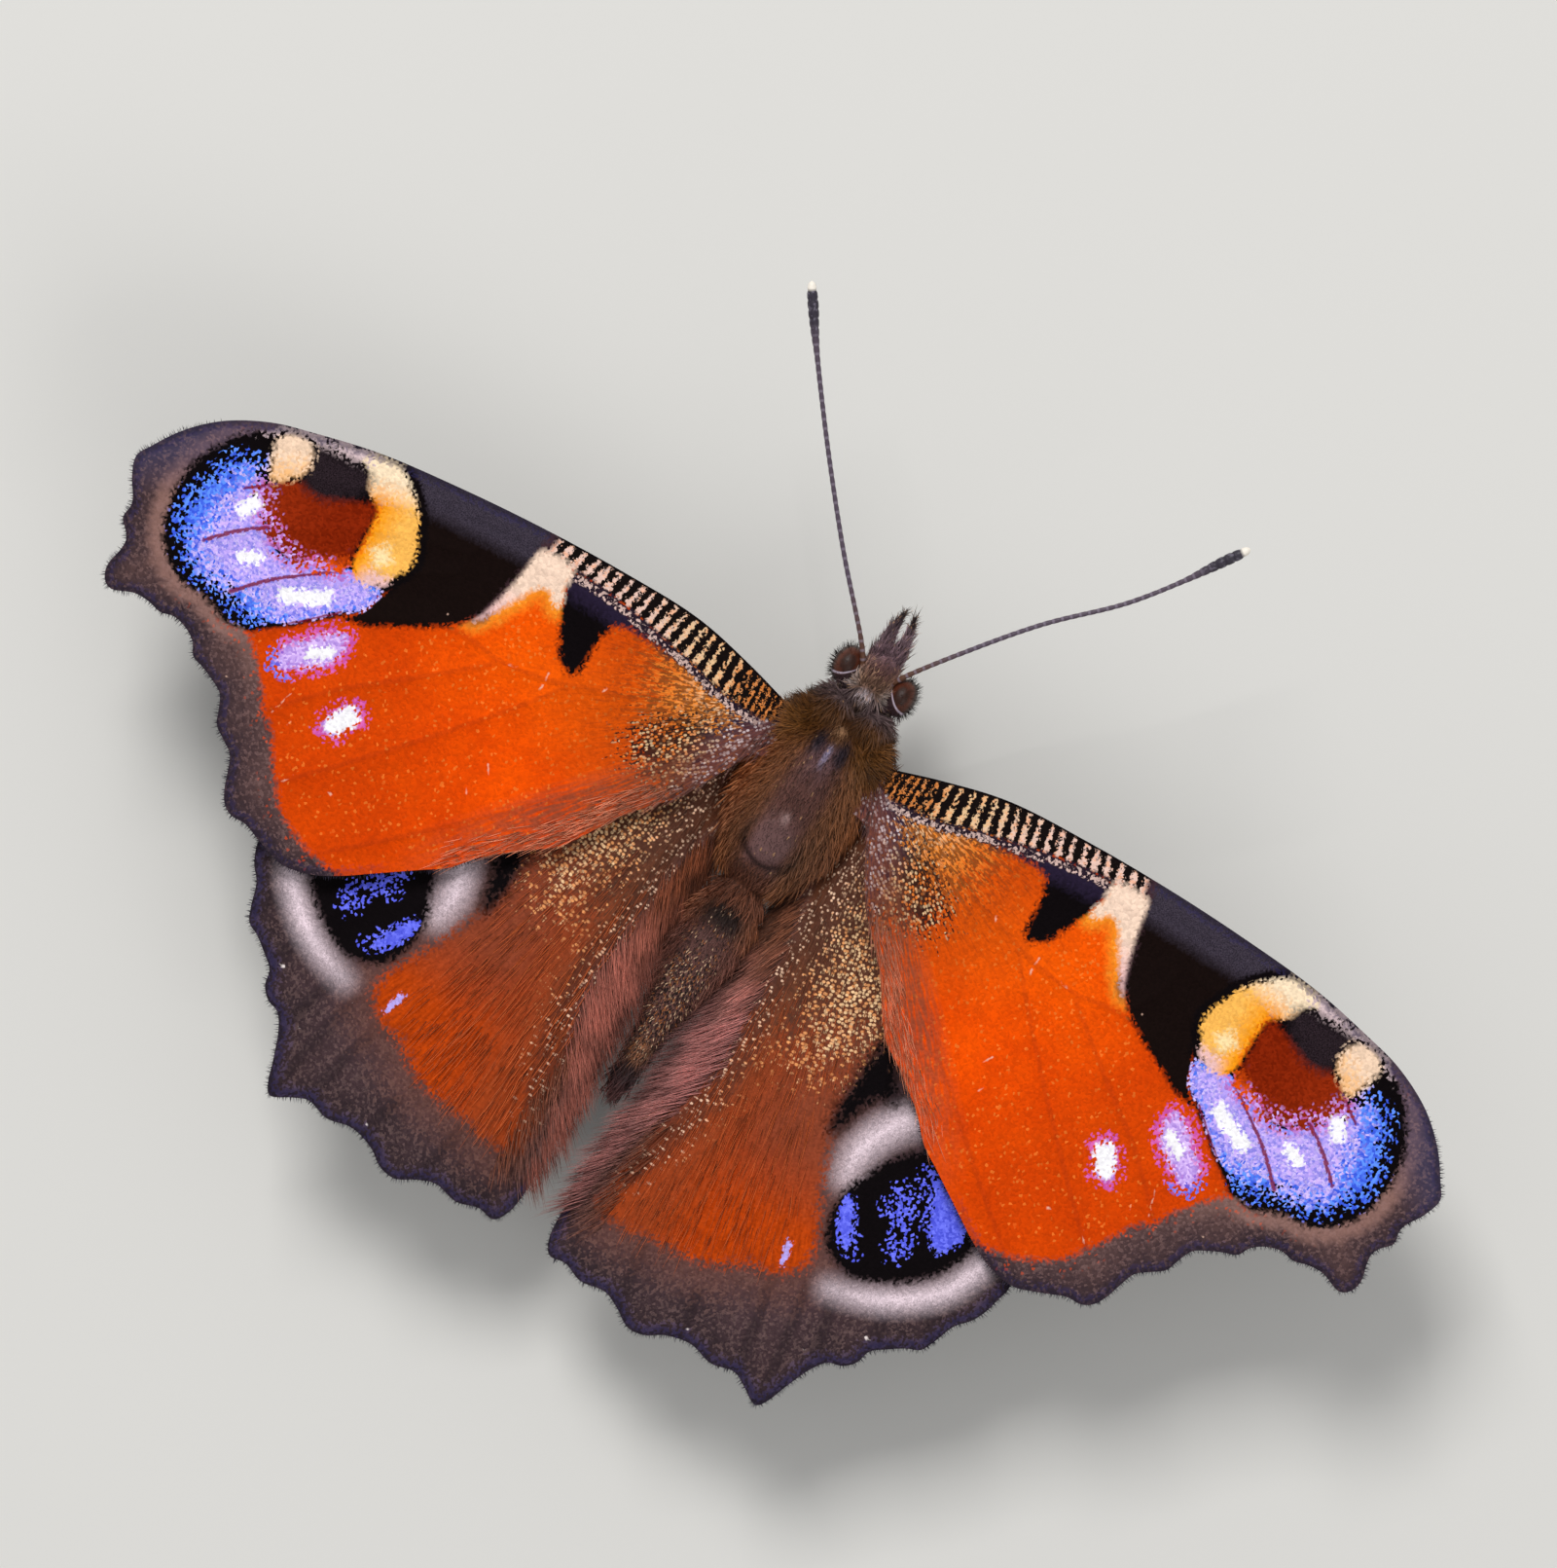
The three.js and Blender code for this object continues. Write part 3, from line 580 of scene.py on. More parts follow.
SECOND_BAR = [
    (15.75, 2.6), (22.5, 2.6), (22.2, 1.6), (21.7, 0.9), (21.2, 0.1), (20.8, -0.8), (20.5, -1.8),
    (20.8, -2.7), (21.1, -3.6), (21.4, -4.4), (21.9, -5.2), (22.3, -5.5), (21, -5.25), (20, -4.75),
    (19, -4.3), (18.3, -3.95), (17.5, -3.4), (16.9, -2.7), (16.5, -1.5), (16.1, -0.2), (15.8, 1),
]
EYESPOT = [
    (22.3, 1.95), (24, 2.2), (26, 2), (27.6, 1.7), (29, 1), (30.2, 0.1), (31.2, -1.1), (31.9, -2.6),
    (32, -4.2), (31.6, -5.7), (30.8, -6.9), (29.4, -7.7), (28, -7.9), (26.8, -8.1), (25.7, -7.9), (25, -7.4),
    (24.2, -6.9), (23.3, -6.2), (22.3, -5.4), (21.5, -4.8), (21.1, -3.6), (20.75, -2.7), (20.45, -1.8),
    (20.8, -0.8), (21.3, 0.3), (21.9, 1.2),
]
YELLOW_RING = [
    (22.4, 1.4), (22.9, 1.85), (24.3, 1.8), (24.8, 1.3), (24.2, 0.95), (23.95, 0.45), (23.6, 0.1),
    (23.1, -0.5), (22.95, -1.5), (23, -2.5), (22.9, -3.2), (22.6, -3.5), (22.2, -3.7), (21.7, -3.65),
    (21.25, -3.3), (20.9, -2.7), (20.5, -1.8), (20.8, -0.8), (21.3, 0.25), (21.85, 0.95),
]
PALE_STREAK = [
    (24.2, 1.75), (26, 1.5), (28, 1.15), (29.3, 0.55), (28.6, 0.75), (27.4, 0.95), (26, 1.05), (24.6, 1.1),
]
DARK_IRIS = [
    (23.1, -0.35), (24.2, -0.6), (25.6, -0.9), (26.5, -0.85), (27.5, -1.4), (27.95, -2.1), (27.5, -2.8),
    (26.8, -3.2), (26, -3.9), (25, -3.95), (24, -3.75), (23.2, -3.6), (23.1, -2.6), (23.05, -1.4),
]
PUPIL = [
    (24, 0.9), (25.4, 0.98), (26.8, 0.92), (26.85, 0.55), (26.6, 0.2), (26.6, -0.4), (26.4, -0.95),
    (25.6, -1.1), (24.8, -0.8), (24.1, -0.3), (23.8, 0.3),
]
SECOND_CREAM = [
    (26.75, 0.85), (27.9, 0.95), (28.35, 0.45), (28.3, -0.3), (28.05, -0.95), (27.85, -1.4), (27.35, -1.15),
    (26.9, -0.8), (26.6, -0.35), (26.5, 0.15),
]
BLUE_ZONE = [
    (28.3, -0.75), (29.4, -0.75), (30.2, -1.7), (30.75, -2.8), (31, -4.2), (30.7, -5.3), (30, -6.2),
    (29, -6.85), (28, -6.9), (27.4, -6.95), (27, -7.4), (26, -7.55), (25, -7.15), (24.2, -6.75),
    (23.3, -6.05), (22.3, -5.25), (21.5, -4.75), (21.15, -3.6), (22.2, -3.4), (22.9, -3.2), (23.7, -3.75),
    (24.5, -3.85), (25.3, -4.05), (26.1, -4), (26.9, -3.15), (27.5, -2.5), (27.8, -2), (27.6, -1.5),
    (27.9, -1.25),
]
VIOLET_ZONE = [
    (21.4, -4), (22.9, -3.4), (24.5, -3.7), (26.1, -3.9), (27, -3.05), (27.7, -1.9), (28.3, -1.7),
    (28.9, -2.5), (29, -3.7), (29.2, -4.8), (28.8, -5.6), (27.4, -6), (26.2, -6.1), (25.4, -6.3),
    (24.4, -6.4), (23.3, -5.8), (22.3, -5), (21.7, -4.5),
]
FOURTH_SPOT = [
    (21.25, -6.2), (21.6, -5.8), (22.3, -5.9), (23, -6.4), (23.6, -7), (24.2, -7.4), (24.3, -8.2),
    (24.1, -8.95), (23.4, -8.85), (22.7, -8.55), (22, -8.1), (21.5, -7.6), (21.3, -7),
]
FIFTH_SPOT = [((19.9, -9.1), (20.5, -10), 0.62)]
WHITE_CORES = [
    ((28, -2.6), (28.35, -3.1), 0.3), ((26.8, -4.75), (27.4, -5.0), 0.27),
    ((23.3, -4.95), (24.9, -5.7), 0.33), ((22.1, -7.1), (22.75, -7.55), 0.27),
    ((19.95, -9.25), (20.35, -9.85), 0.42),
]
RED_VEINS = [
    [(26.9, -0.95), (27.7, -1.55), (28.7, -2.2)], [(25.9, -2.8), (27.3, -3.5), (28.3, -4.2), (29.3, -5.1)],
    [(23.2, -3.6), (24.6, -4.5), (26, -5.5), (27.2, -6.6)], [(22.4, -5.3), (23.4, -6.15), (24.4, -6.95)],
]
WITHIN_BORDER = [
    (-2, 6), (28.3, 6), (28.6, 0.8), (29.6, 0.2), (30.7, -1), (31.35, -2.4), (31.5, -4), (31.2, -5.4),
    (30.5, -6.5), (29.4, -7.2), (28, -7.45), (26.8, -7.95), (25.8, -7.9), (24.9, -8.7), (24.2, -9.6),
    (23.6, -10.6), (22.8, -11.4), (22.2, -12.5), (21.5, -13.4), (21, -14.2), (20, -14.9), (19, -15.4),
    (17.8, -15.7), (16.4, -15.9), (14, -17), (-2, -17),
]
GOLD_AREA = [
    (3.3, -1.9), (5, -2.1), (6.6, -2.7), (7.7, -3.6), (8.2, -4.6), (7.4, -5.3), (6.4, -5.7), (5.4, -5.9),
    (4.2, -4.9), (3.4, -3.4),
]
SCRATCHES = [
    ((10.25, -2.9), (10.35, -3.15), 0.05), ((12.9, -3.5), (12.9, -4.4), 0.05),
    ((14.1, -3.9), (14.7, -3.95), 0.05), ((13.5, -8.3), (13.2, -9), 0.04),
    ((13.9, -9.5), (13.75, -10), 0.04), ((19.1, -12.75), (19.3, -12.65), 0.06),
    ((22.2, -10.4), (22.3, -11.1), 0.03), ((22.7, -9.3), (23.3, -11.1), 0.03),
    ((21, -12.7), (21.4, -13.3), 0.03), ((18.1, -3.2), (18.15, -3.2), 0.05),
    ((25.6, -10.1), (25.65, -10.1), 0.06),
]


def forewing_fields(plan):
    """What the markings need at each point of the plan, mostly depths inside outlines, in millimetres."""
    points, _, rim_count = plan
    x, y = points.T
    slanted = x + STRIPES["slant"] * within(x, 4.5, 9.5) * (y - 1.5)
    growing = np.maximum(0.01, 1 + STRIPES["growth"] / STRIPES["first"] * (slanted - STRIPES["start"]))
    nothing = np.zeros(len(x))
    fields = {
        "plan": [x, y, nothing],
        "rays": [*rays_from(points, FOREWING_ROOT, 10).T, nothing],
        "combed": [x * 0.77 - y * 0.64, x * 0.64 + y * 0.77, nothing],
        "rim": [from_line(points, points[:rim_count], closed=True), depth_in(points, WITHIN_BORDER), nothing],
        "bars": [depth_in(points, outline) for outline in (FIRST_BAR, SECOND_BAR, CREAM_PATCH)],
        "eye": [depth_in(points, outline) for outline in (EYESPOT, YELLOW_RING, DARK_IRIS)],
        "core": [depth_in(points, outline) for outline in (PUPIL, SECOND_CREAM, PALE_STREAK)],
        "blue": [depth_in(points, BLUE_ZONE), depth_in(points, VIOLET_ZONE), spot_depth(points, WHITE_CORES)],
        "spots": [np.maximum(depth_in(points, FOURTH_SPOT), spot_depth(points, FIFTH_SPOT)),
                  np.min([from_line(points, smooth_line(vein, 0.2)) for vein in RED_VEINS], axis=0),
                  spot_depth(points, SCRATCHES)],
        "stripes": [np.log(growing) / STRIPES["growth"], depth_in(points, STRIPE_ZONE),
                    depth_in(points, GOLD_AREA)],
    }
    return {name: np.column_stack(parts) for name, parts in fields.items()}


ORANGE, DEEP_ORANGE, BRIGHT_ORANGE = paint(248, 84, 1), paint(222, 66, 1), paint(255, 106, 3)
SOOT, VIOLET_SOOT, SLATE = paint(12, 7, 9), paint(44, 34, 58), paint(70, 62, 74)
CREAM, YOLK, PINK_CREAM = paint(254, 228, 192), paint(253, 158, 22), paint(242, 194, 190)
MAROON, EMBER = paint(124, 29, 2), paint(222, 78, 8)
BLUE, DEEP_BLUE, MAGENTA = paint(96, 146, 252), paint(64, 98, 240), paint(216, 66, 160)
SNOW = paint(255, 252, 255)
BORDER_BROWN, PALE_BORDER, DARK_BORDER = paint(92, 68, 66), paint(158, 118, 108), paint(54, 42, 48)
RIM_BLUE = paint(62, 56, 104)
GOLD, DULL_GOLD, ROOT_BROWN = paint(255, 212, 160), paint(246, 150, 58), paint(40, 25, 24)


def scale_relief(finish, plan, ways):
    """The tiled scales: the tone of each, its ragged share of a boundary, and the relief of them all."""
    middle, tone, jitter = finish.cells(plan, SCALES_PER_MM)
    grain = finish.noise(plan, GRAINS_PER_MM, 1.0)
    streak = finish.noise(ways, STREAKS_PER_MM, 2.0)
    relief = (1 - middle) * 0.4 + grain * 0.3 + streak * 0.15
    return tone, jitter - 0.5, grain, streak, relief


def forewing_finish():
    finish = Finish("forewing_scales", roughness=0.75, specular=0.03)
    plan, rays = finish.vector("plan"), finish.vector("rays")
    x, y, _ = finish.fields("plan")
    out, _, _ = finish.fields("rays")
    rim, within_border, _ = finish.fields("rim")
    first_bar, second_bar, cream = finish.fields("bars")
    eyespot, ring, iris = finish.fields("eye")
    pupil, second_cream, streak_depth = finish.fields("core")
    blue, violet, white = finish.fields("blue")
    spots, red_vein, scratch = finish.fields("spots")
    phase, stripe_zone, gold_area = finish.fields("stripes")
    ways = finish.stretched(rays, WAYS_STRETCH)
    tone, jitter, grain, streak, relief = scale_relief(finish, plan, ways)
    cloud = finish.noise(plan, 0.45, 3.0)
    dots, dot_share, dot_tone = finish.cells(finish.stretched(finish.vector("combed"), (5.4, 7.6, 1)), 1.0)
    vein = finish.field("vein")

    colour = finish.layered(DEEP_ORANGE, [
        (cloud.over(0.5, 0.5), ORANGE),
        ((x - y * 0.5 - 20.5).over(0, 6) * 0.55, paint(190, 58, 4)),
        ((7.5 - abs(y + 3.5)).over(6, 5) * (17 - x).over(0, 6) * 0.5, BRIGHT_ORANGE),
        ((streak - 0.5).over(0.12, 0.2) * 0.35, DEEP_ORANGE),
        ((jitter - 0.46).over(0, 0.02) * 0.4, paint(255, 150, 60)),
        ((0.11 - vein).over(0, 0.1) * 0.24, paint(150, 44, 14)),
    ])

    # Towards the root the orange gives way to golden and then to sooty scales, in streaks along the wing.
    thread = finish.noise(finish.stretched(rays, (0.4, 0.75, 1)), 6.0, 2.0)
    smoky = (6.9 - out + (streak - 0.5) * 6).over(0, 2.4)
    golden = finish.mix((thread + jitter * 0.15 - 0.53).over(0, 0.08) * (5.4 - out).over(0, 2), DULL_GOLD,
                        GOLD)
    dash = (0.51 - thread + jitter * 0.16).over(0, 0.06) * (8.2 - out + (streak - 0.5) * 5).over(0, 3)
    sooty = (4.9 - out + (streak - 0.5) * 4 + (thread - 0.5) * 6 + jitter * 1.5).over(0, 0.8)
    dark_patch = (gold_area + 0.1 + (thread - 0.5) * 3.6 + (streak - 0.5) * 2.4 + jitter * 1.1).over(0, 0.5)
    dark_patch = dark_patch.either(sooty * (-0.9 - stripe_zone).over(0, 0.6)).either(
        (3.7 - out + (streak - 0.5) * 3 + jitter * 0.8).over(0, 0.6))
    crowded = gold_area * 0.2 + 0.2 - (5.8 - x).over(0, 1.5) * 0.42 + (dot_share - 0.5) * 1.8
    gold_dot = (0.42 - dots).over(0, 0.14) * crowded.over(0, 0.4) * dark_patch * (0.6 + dot_tone * 0.5)
    dot_colour = finish.mix((dot_tone - 0.5).over(0, 0.3) * (x - 5.4).over(0, 2), GOLD, paint(226, 122, 48))
    hairy = (1.7 - abs(y + x * 0.98 - 0.2)).over(0, 1.4) * (13 - x).over(0, 5)
    colour = finish.layered(colour, [
        ((11.2 - out + (streak - 0.5) * 5).over(0, 4) * 0.5, paint(180, 74, 14)),
        (smoky * 0.8, golden),
        (dash * 0.7, paint(70, 34, 22)),
        (dark_patch * 0.95, finish.mix((5.2 - x).over(0, 1.5), ROOT_BROWN, VIOLET_SOOT)),
        (gold_dot,
         finish.mix((4.9 - x - (y + 3) * 0.2 + jitter).over(0, 0.9), dot_colour, paint(222, 208, 212))),
        (hairy * streak.over(0.42, 0.25) * 0.75, paint(128, 72, 52)),
    ])

    # The striped band along the front edge.
    wobble = (finish.noise(plan, 2.4, 3.0, 0.65) - 0.5) * 6.5
    banded = (phase * (2 * math.pi) + wobble).sine() + jitter * 1.5 + (0.55 - stripe_zone).over(0, 0.6) * 0.55
    banded = banded + (12.4 - x).over(0, 2) * -0.2 + (grain - 0.5) * 1.4
    speckled = (phase * (2.9 * math.pi) + wobble * 1.5).sine() * 0.8 + (grain - 0.5) * 4 + jitter * 1.8 - 0.1
    banded = banded + (4.7 - x + (streak - 0.5) * 2).over(0, 1.6) * (speckled - banded)
    pale = finish.layered(paint(244, 204, 188), [
        ((8.4 - x + jitter * 2).over(0, 3), paint(240, 198, 150)),
        ((4.9 - x + jitter * 2).over(0, 1.6), paint(206, 122, 58)),
        ((tone - 0.66).over(0, 0.2) * 0.5, paint(222, 140, 80)),
    ])
    stripes = finish.layered(paint(20, 13, 12), [
        (banded.over(0.42, 0.4), pale),
        ((0.09 - rim + jitter * 0.1).over(0, 0.06), SOOT),
    ])
    colour = finish.mix((stripe_zone + jitter * 0.2).over(0, 0.1), colour, stripes)

    # The bars and the cream patch between them.
    band_line = (0.24 - abs(stripe_zone + 0.14) + jitter * 0.2).over(0, 0.12) * (x - 3.6).over(0, 1)
    pale_line = (0.12 - abs(stripe_zone + 0.2) + jitter * 0.16).over(0, 0.06)
    pale_line = pale_line * (grain + jitter * 0.9).over(0.56, 0.2)
    band_line = band_line * (rim - 0.4).over(0, 0.1) * (14.6 - x).over(0, 0.4)
    halo = (cream + 0.45 + jitter * 0.2).over(0, 0.7) * (1 - (first_bar.either(second_bar)).over(0, 0.2))
    halo = halo * (0.9 - y).over(0, 0.4)
    black = finish.mix((y - 0.5 + jitter * 0.15).over(0, 0.8), paint(21, 11, 9),
                       finish.mix(grain.over(0.5, 0.3), SLATE, paint(44, 38, 48)))
    colour = finish.layered(colour, [
        ((first_bar + 0.06 + jitter * 0.3).over(0, 0.3),
         finish.mix((y + 0.1 - (x - 13) * 0.12 + jitter * 0.3).over(0, 0.6) * 0.75, SOOT, VIOLET_SOOT)),
        (band_line, finish.mix(pale_line, paint(40, 28, 40), paint(212, 180, 170))),
        (halo * 0.75, paint(255, 164, 44)),
        ((second_bar + 0.4 + jitter * 0.2).over(0, 0.3) * (y + 3.0).over(0, 0.8), paint(66, 44, 50)),
        ((cream + jitter * 0.2).over(0, 0.3),
         finish.mix((y + 1.4).over(0, 1.6), PINK_CREAM, paint(248, 216, 192))),
        ((second_bar + jitter * 0.25).over(0, 0.25), black),
    ])

    # The eyespot: a soot disc, on it the blue and violet, then the ring, the iris and the pupil.
    sky_blue = finish.mix((tone + cloud - 0.5).over(0.5, 0.6), DEEP_BLUE, BLUE)
    lilac = finish.layered(paint(150, 142, 246), [
        (tone.over(0.5, 0.9), paint(206, 176, 248)),
        ((grain + jitter * 0.5 - 0.66).over(0, 0.2) * 0.7, paint(222, 206, 252)),
    ])
    near_iris = (iris + 0.75).over(0.2, 0.5)
    outer = (x + y * -0.55 - 29.4).over(0, 1.6)
    sparse = (outer * 1.1 + 0.25).either((y + 2.0).over(0, 1.2) * 1.3)
    hue = finish.layered(sky_blue, [
        ((violet + 0.3 + jitter * 1.3).over(0, 0.6), lilac),
        (near_iris * (jitter + 0.05).over(0, 0.2) * 0.8, paint(206, 104, 196)),
    ])
    yellow = finish.layered(paint(255, 188, 88), [
        ((x - 22.15 + jitter * 0.4).over(0, 1.1), YOLK),
        ((x - 22.85 + jitter * 0.3).over(0, 0.3) * (-0.2 - y).over(0, 0.6), paint(238, 104, 8)),
        ((y - 0.5 + (x - 22.5) * 0.2 + jitter * 0.5).over(0, 1.2), CREAM),
        ((0.5 - abs(x - 21.9) - abs(y + 2.2) * 0.8 + jitter * 0.5).over(0, 0.5), paint(254, 222, 164)),
        ((-3.0 - y + jitter * 0.4).over(0, 0.5) * (22.3 - x).over(0, 0.6), PINK_CREAM),
    ])
    ragged = (-2.6 - y).over(0, 0.8) * (x - 23.5).over(0, 0.5)
    ragged = ragged.either((x - 26.3).over(0, 0.8) * (-1.6 - y).over(0, 0.6))
    red = finish.layered(MAROON, [
        ((tone - 0.5).over(0, 0.8) * 0.2 + (x - 26).over(0, 3) * 0.3, paint(170, 54, 16)),
        ((-3.3 - y + (23.6 - x) * 0.6 + jitter * 0.5).over(0, 0.6) * (25 - x).over(0, 1), EMBER),
    ])
    pupil_black = finish.mix(grain.over(0.45, 0.4) * 0.9, SOOT, paint(52, 40, 46))
    colour = finish.layered(colour, [
        ((eyespot.either(ring + 0.45) + jitter * 0.15).over(0, 0.18), SOOT),
        ((blue + jitter * sparse - sparse * 0.14).over(0, 0.06), hue),
        ((0.085 - red_vein + jitter * 0.08).over(0, 0.05) * blue.over(0, 0.1) * 0.9, paint(124, 16, 48)),
        ((ring + jitter * 0.3).over(0, 0.2), yellow),
        ((streak_depth + 0.1 + jitter * 0.8 + (grain - 0.5) * 0.5).over(0, 0.25) * 0.9,
         paint(226, 200, 202)),
        ((iris + 0.12).over(0, 0.1) * ragged, finish.mix(tone, paint(214, 96, 170), lilac)),
        ((iris + 0.05 - ragged * 0.1 + jitter * (ragged * 1.1 + 0.3)).over(0, 0.3), red),
        ((pupil + jitter * 0.35 - 0.02).over(0, 0.7), pupil_black),
        ((second_cream + jitter * 0.35).over(0, 0.3),
         finish.mix((y + x * 0.5 - 13.2 + jitter).over(0, 1.2), paint(250, 190, 128),
             paint(248, 214, 184))),
    ])

    # The two spots below it, each violet with a ragged magenta rim, and the white cores of all five.
    spotted = finish.layered(paint(190, 150, 240), [
        (tone.over(0.5, 0.8), paint(224, 192, 248)),
        ((0.2 - spots + jitter * 0.7).over(0, 0.3) * 0.85, MAGENTA),
        ((x - y - 32.5 + jitter * 1.4).over(0, 0.6) * 0.8, finish.mix(tone, DEEP_BLUE, BLUE)),
    ])
    colour = finish.layered(colour, [
        ((spots - 0.04 + jitter * 0.85).over(0, 0.08), spotted),
        ((white + 0.02 + jitter * 0.34).over(0, 0.14), SNOW),
    ])

    # The border, paler next to the eyespot, with a line of violet-blue scales along its very edge.
    border = finish.layered(DARK_BORDER, [
        ((rim + (cloud - 0.5) * 1.5 + jitter * 0.5).over(0.9, 1.6), BORDER_BROWN),
        ((within_border + 0.62 + (streak - 0.5) * 0.8).over(0, 0.5) * (x - 25.5).over(0, 3) * 0.7,
         PALE_BORDER),
        ((y + 2.6 - (x - 31) * -0.6).over(0, 2) * (x - 28).over(0, 1) * 0.7, paint(72, 66, 92)),
        ((tone + grain - 1.0).over(0.3, 0.4) * 0.4, paint(132, 102, 98)),
        ((jitter + 0.5).over(0.95, 0.03) * within_border.over(-0.7, 0.4) * (-8 - y).over(0, 1) * 0.45,
         ORANGE),
    ])
    outer_edge = (x + y * 0.6 - 8).over(0, 4) * (x - 15.5).over(0, 1)
    colour = finish.layered(colour, [
        ((within_border * -1 + jitter * 0.3).over(0, 0.3), border),
        ((0.3 - rim + jitter * 0.2).over(0, 0.2) * 0.6 * outer_edge, paint(40, 34, 48)),
        ((0.16 - abs(rim - 0.3) + jitter * 0.3).over(0.1, 0.1) * 0.25 * outer_edge, RIM_BLUE),
        ((scratch + jitter * 0.03).over(0, 0.05) * 0.7, paint(244, 200, 176)),
    ])
    colour = finish.darken(colour, 0.8 + tone * 0.28 + grain * 0.2)
    return finish.done(colour, relief, depth=0.03)


def underside_finish(name):
    """Both wings are blackish brown below, crossed by fine dark wavy lines."""
    finish = Finish(name, roughness=0.75, specular=0.08)
    plan, rays = finish.vector("plan"), finish.vector("rays")
    out, _, _ = finish.fields("rays")
    rim, _, _ = finish.fields("rim")
    ways = finish.stretched(rays, WAYS_STRETCH)
    tone, jitter, grain, streak, relief = scale_relief(finish, plan, ways)
    wander = finish.noise(plan, 0.8, 4.0, 0.6)
    ripple = (out * 7.5 + wander * 26).sine() * 0.5 + 0.5
    band = (wander * 6 + out * 0.62).sine()
    colour = finish.layered(paint(40, 32, 31), [
        ((ripple + jitter * 0.4).over(0.62, 0.35), paint(70, 56, 50)),
        (band.over(0.25, 0.9) * 0.65, paint(24, 19, 20)),
        ((2.6 - rim + (wander - 0.5) * 3).over(0, 1.2) * 0.5, paint(86, 74, 70)),
        ((tone * grain).over(0.55, 0.2) * 0.5, paint(120, 106, 96)),
        ((0.1 - finish.field("vein")).over(0, 0.1) * 0.6, paint(28, 22, 22)),
    ])
    return finish.done(finish.darken(colour, 0.85 + tone * 0.3), relief, depth=0.03)


forewing_plan = wing_plan(FOREWING_EDGE, RED_VEINS + FOREWING_VEINS)
forewing_marks = forewing_fields(forewing_plan)
wing_finishes = [forewing_finish(), underside_finish("forewing_underside")]
for side, place in FOREWING_SIDES:
    mesh = wing_mesh(f"forewing_skin_{side}", forewing_plan, FOREWING_VEINS, forewing_height, FOREWING_LIFT,
                     place, forewing_marks)
    add_piece(f"forewing_skin_{side}", mesh, wing_finishes, "forewing_scales", f"forewing_{side}")


# Hindwing: rust-red under long brown hair, with a black spot filled with blue at the front corner, two
# greyish white arcs round it, a broad grey-brown border and, along the body, a fold for the abdomen.
HINDWING_ROOT = (2.4, 2.0)
HINDWING_LIFT = 0.08
BLACK_SPOT = [
    (12.9, -13.8), (12.2, -14.6), (11.6, -15.8), (11.2, -16.8), (11.2, -18.2), (11.6, -19.2), (12.4, -19.75),
    (13.5, -19.95), (14.6, -19.5), (15.6, -18.9), (16.4, -18.1), (17, -17.1), (17.3, -16.2), (17.3, -14.8),
    (16.3, -13.4), (14.8, -12.9), (13.6, -13.2),
]
BLUE_PATCHES = [
    [(11.3, -16.9), (11.75, -16.9), (12.25, -17.6), (12.55, -18.3), (13.05, -19.1), (12.75, -19.4),
     (12.2, -19.2), (11.6, -18.5), (11.3, -17.7)],
    [(12.7, -16), (13.5, -15.2), (14.4, -15.9), (15, -17), (14.95, -18.2), (14.2, -18.3), (13.95, -17.3),
     (13.35, -16.9)],
    [(13.6, -14), (15, -14), (16.6, -14.9), (16.9, -15.8), (16.7, -16.4), (16.1, -17.25), (15.3, -16.6),
     (14.6, -15.8), (13.9, -15)],
]
PALE_ARCS = [
    [(12.6, -12), (11.6, -13.1), (11, -14.2), (10.75, -15.4), (10.8, -16.4)],
    [(18.3, -15.6), (18, -16.8), (17.4, -18.2), (16.5, -19.2), (15.4, -20), (14.1, -20.6), (12.8, -21)],
]
BLACK_WEDGE = [
    (9.15, -9.6), (9.6, -10.3), (10.5, -11.5), (11.1, -12.3), (10.2, -12.7), (9.8, -13.5), (9.5, -14.6),
    (9.1, -15), (8.9, -13.6), (8.9, -11.8),
]
RUST_FIELD = [
    (9.2, -9), (9, -12), (9, -14.2), (9.7, -16.2), (10.4, -17.7), (10.95, -18.8), (11.4, -20), (11.3, -20.9),
    (10.5, -21.6), (9.2, -22), (8, -22.8), (6.5, -23.2), (5, -23.35), (3, -23.7), (1.9, -23.2), (1.6, -20),
    (-2, -18), (-2, 2), (9, 2),
]
CREASES = [
    [(10.3, -21.2), (10.8, -23.4), (11.4, -26.5)], [(8, -24.3), (8.2, -25.4), (8.35, -26.5)],
    [(12, -21.5), (12.5, -24), (12.9, -27)], [(13, -20.8), (13.6, -22.4), (13.9, -23.8)],
    [(15, -20.2), (15.7, -21.2), (16.1, -22)], [(16.8, -19.2), (17.6, -20.1), (18, -20.6)],
    [(4.9, -24), (5.1, -25.2), (5.3, -26.7)],
]
VIOLET_DASH = [((10.25, -20.2), (10.5, -21.15), 0.15)]
GOLD_FIELDS = [
    [(3.6, -4), (6, -5), (8, -7.6), (9, -9.8), (8.8, -11.6), (8, -13), (6.6, -13.8), (5.4, -12.6),
     (4.6, -9.6), (3.6, -7)],
    [(3.1, -7), (3.7, -9.5), (4, -12), (4.3, -14), (4.3, -16.2), (3.9, -17.8), (3.4, -19.6), (2.7, -21.6),
     (2.5, -21.2), (2.9, -19.2), (3.3, -17.4), (3.7, -16), (3.5, -14), (3.3, -12), (3.1, -9.5)],
]
FOLD = [(-1, 0), (2.8, -7), (3.2, -9.5), (3.4, -12), (3.65, -14), (3.5, -16), (3.0, -17.6), (2.5, -19.4),
        (2.0, -21.5), (1.5, -24), (0, -24), (-1, -10)]
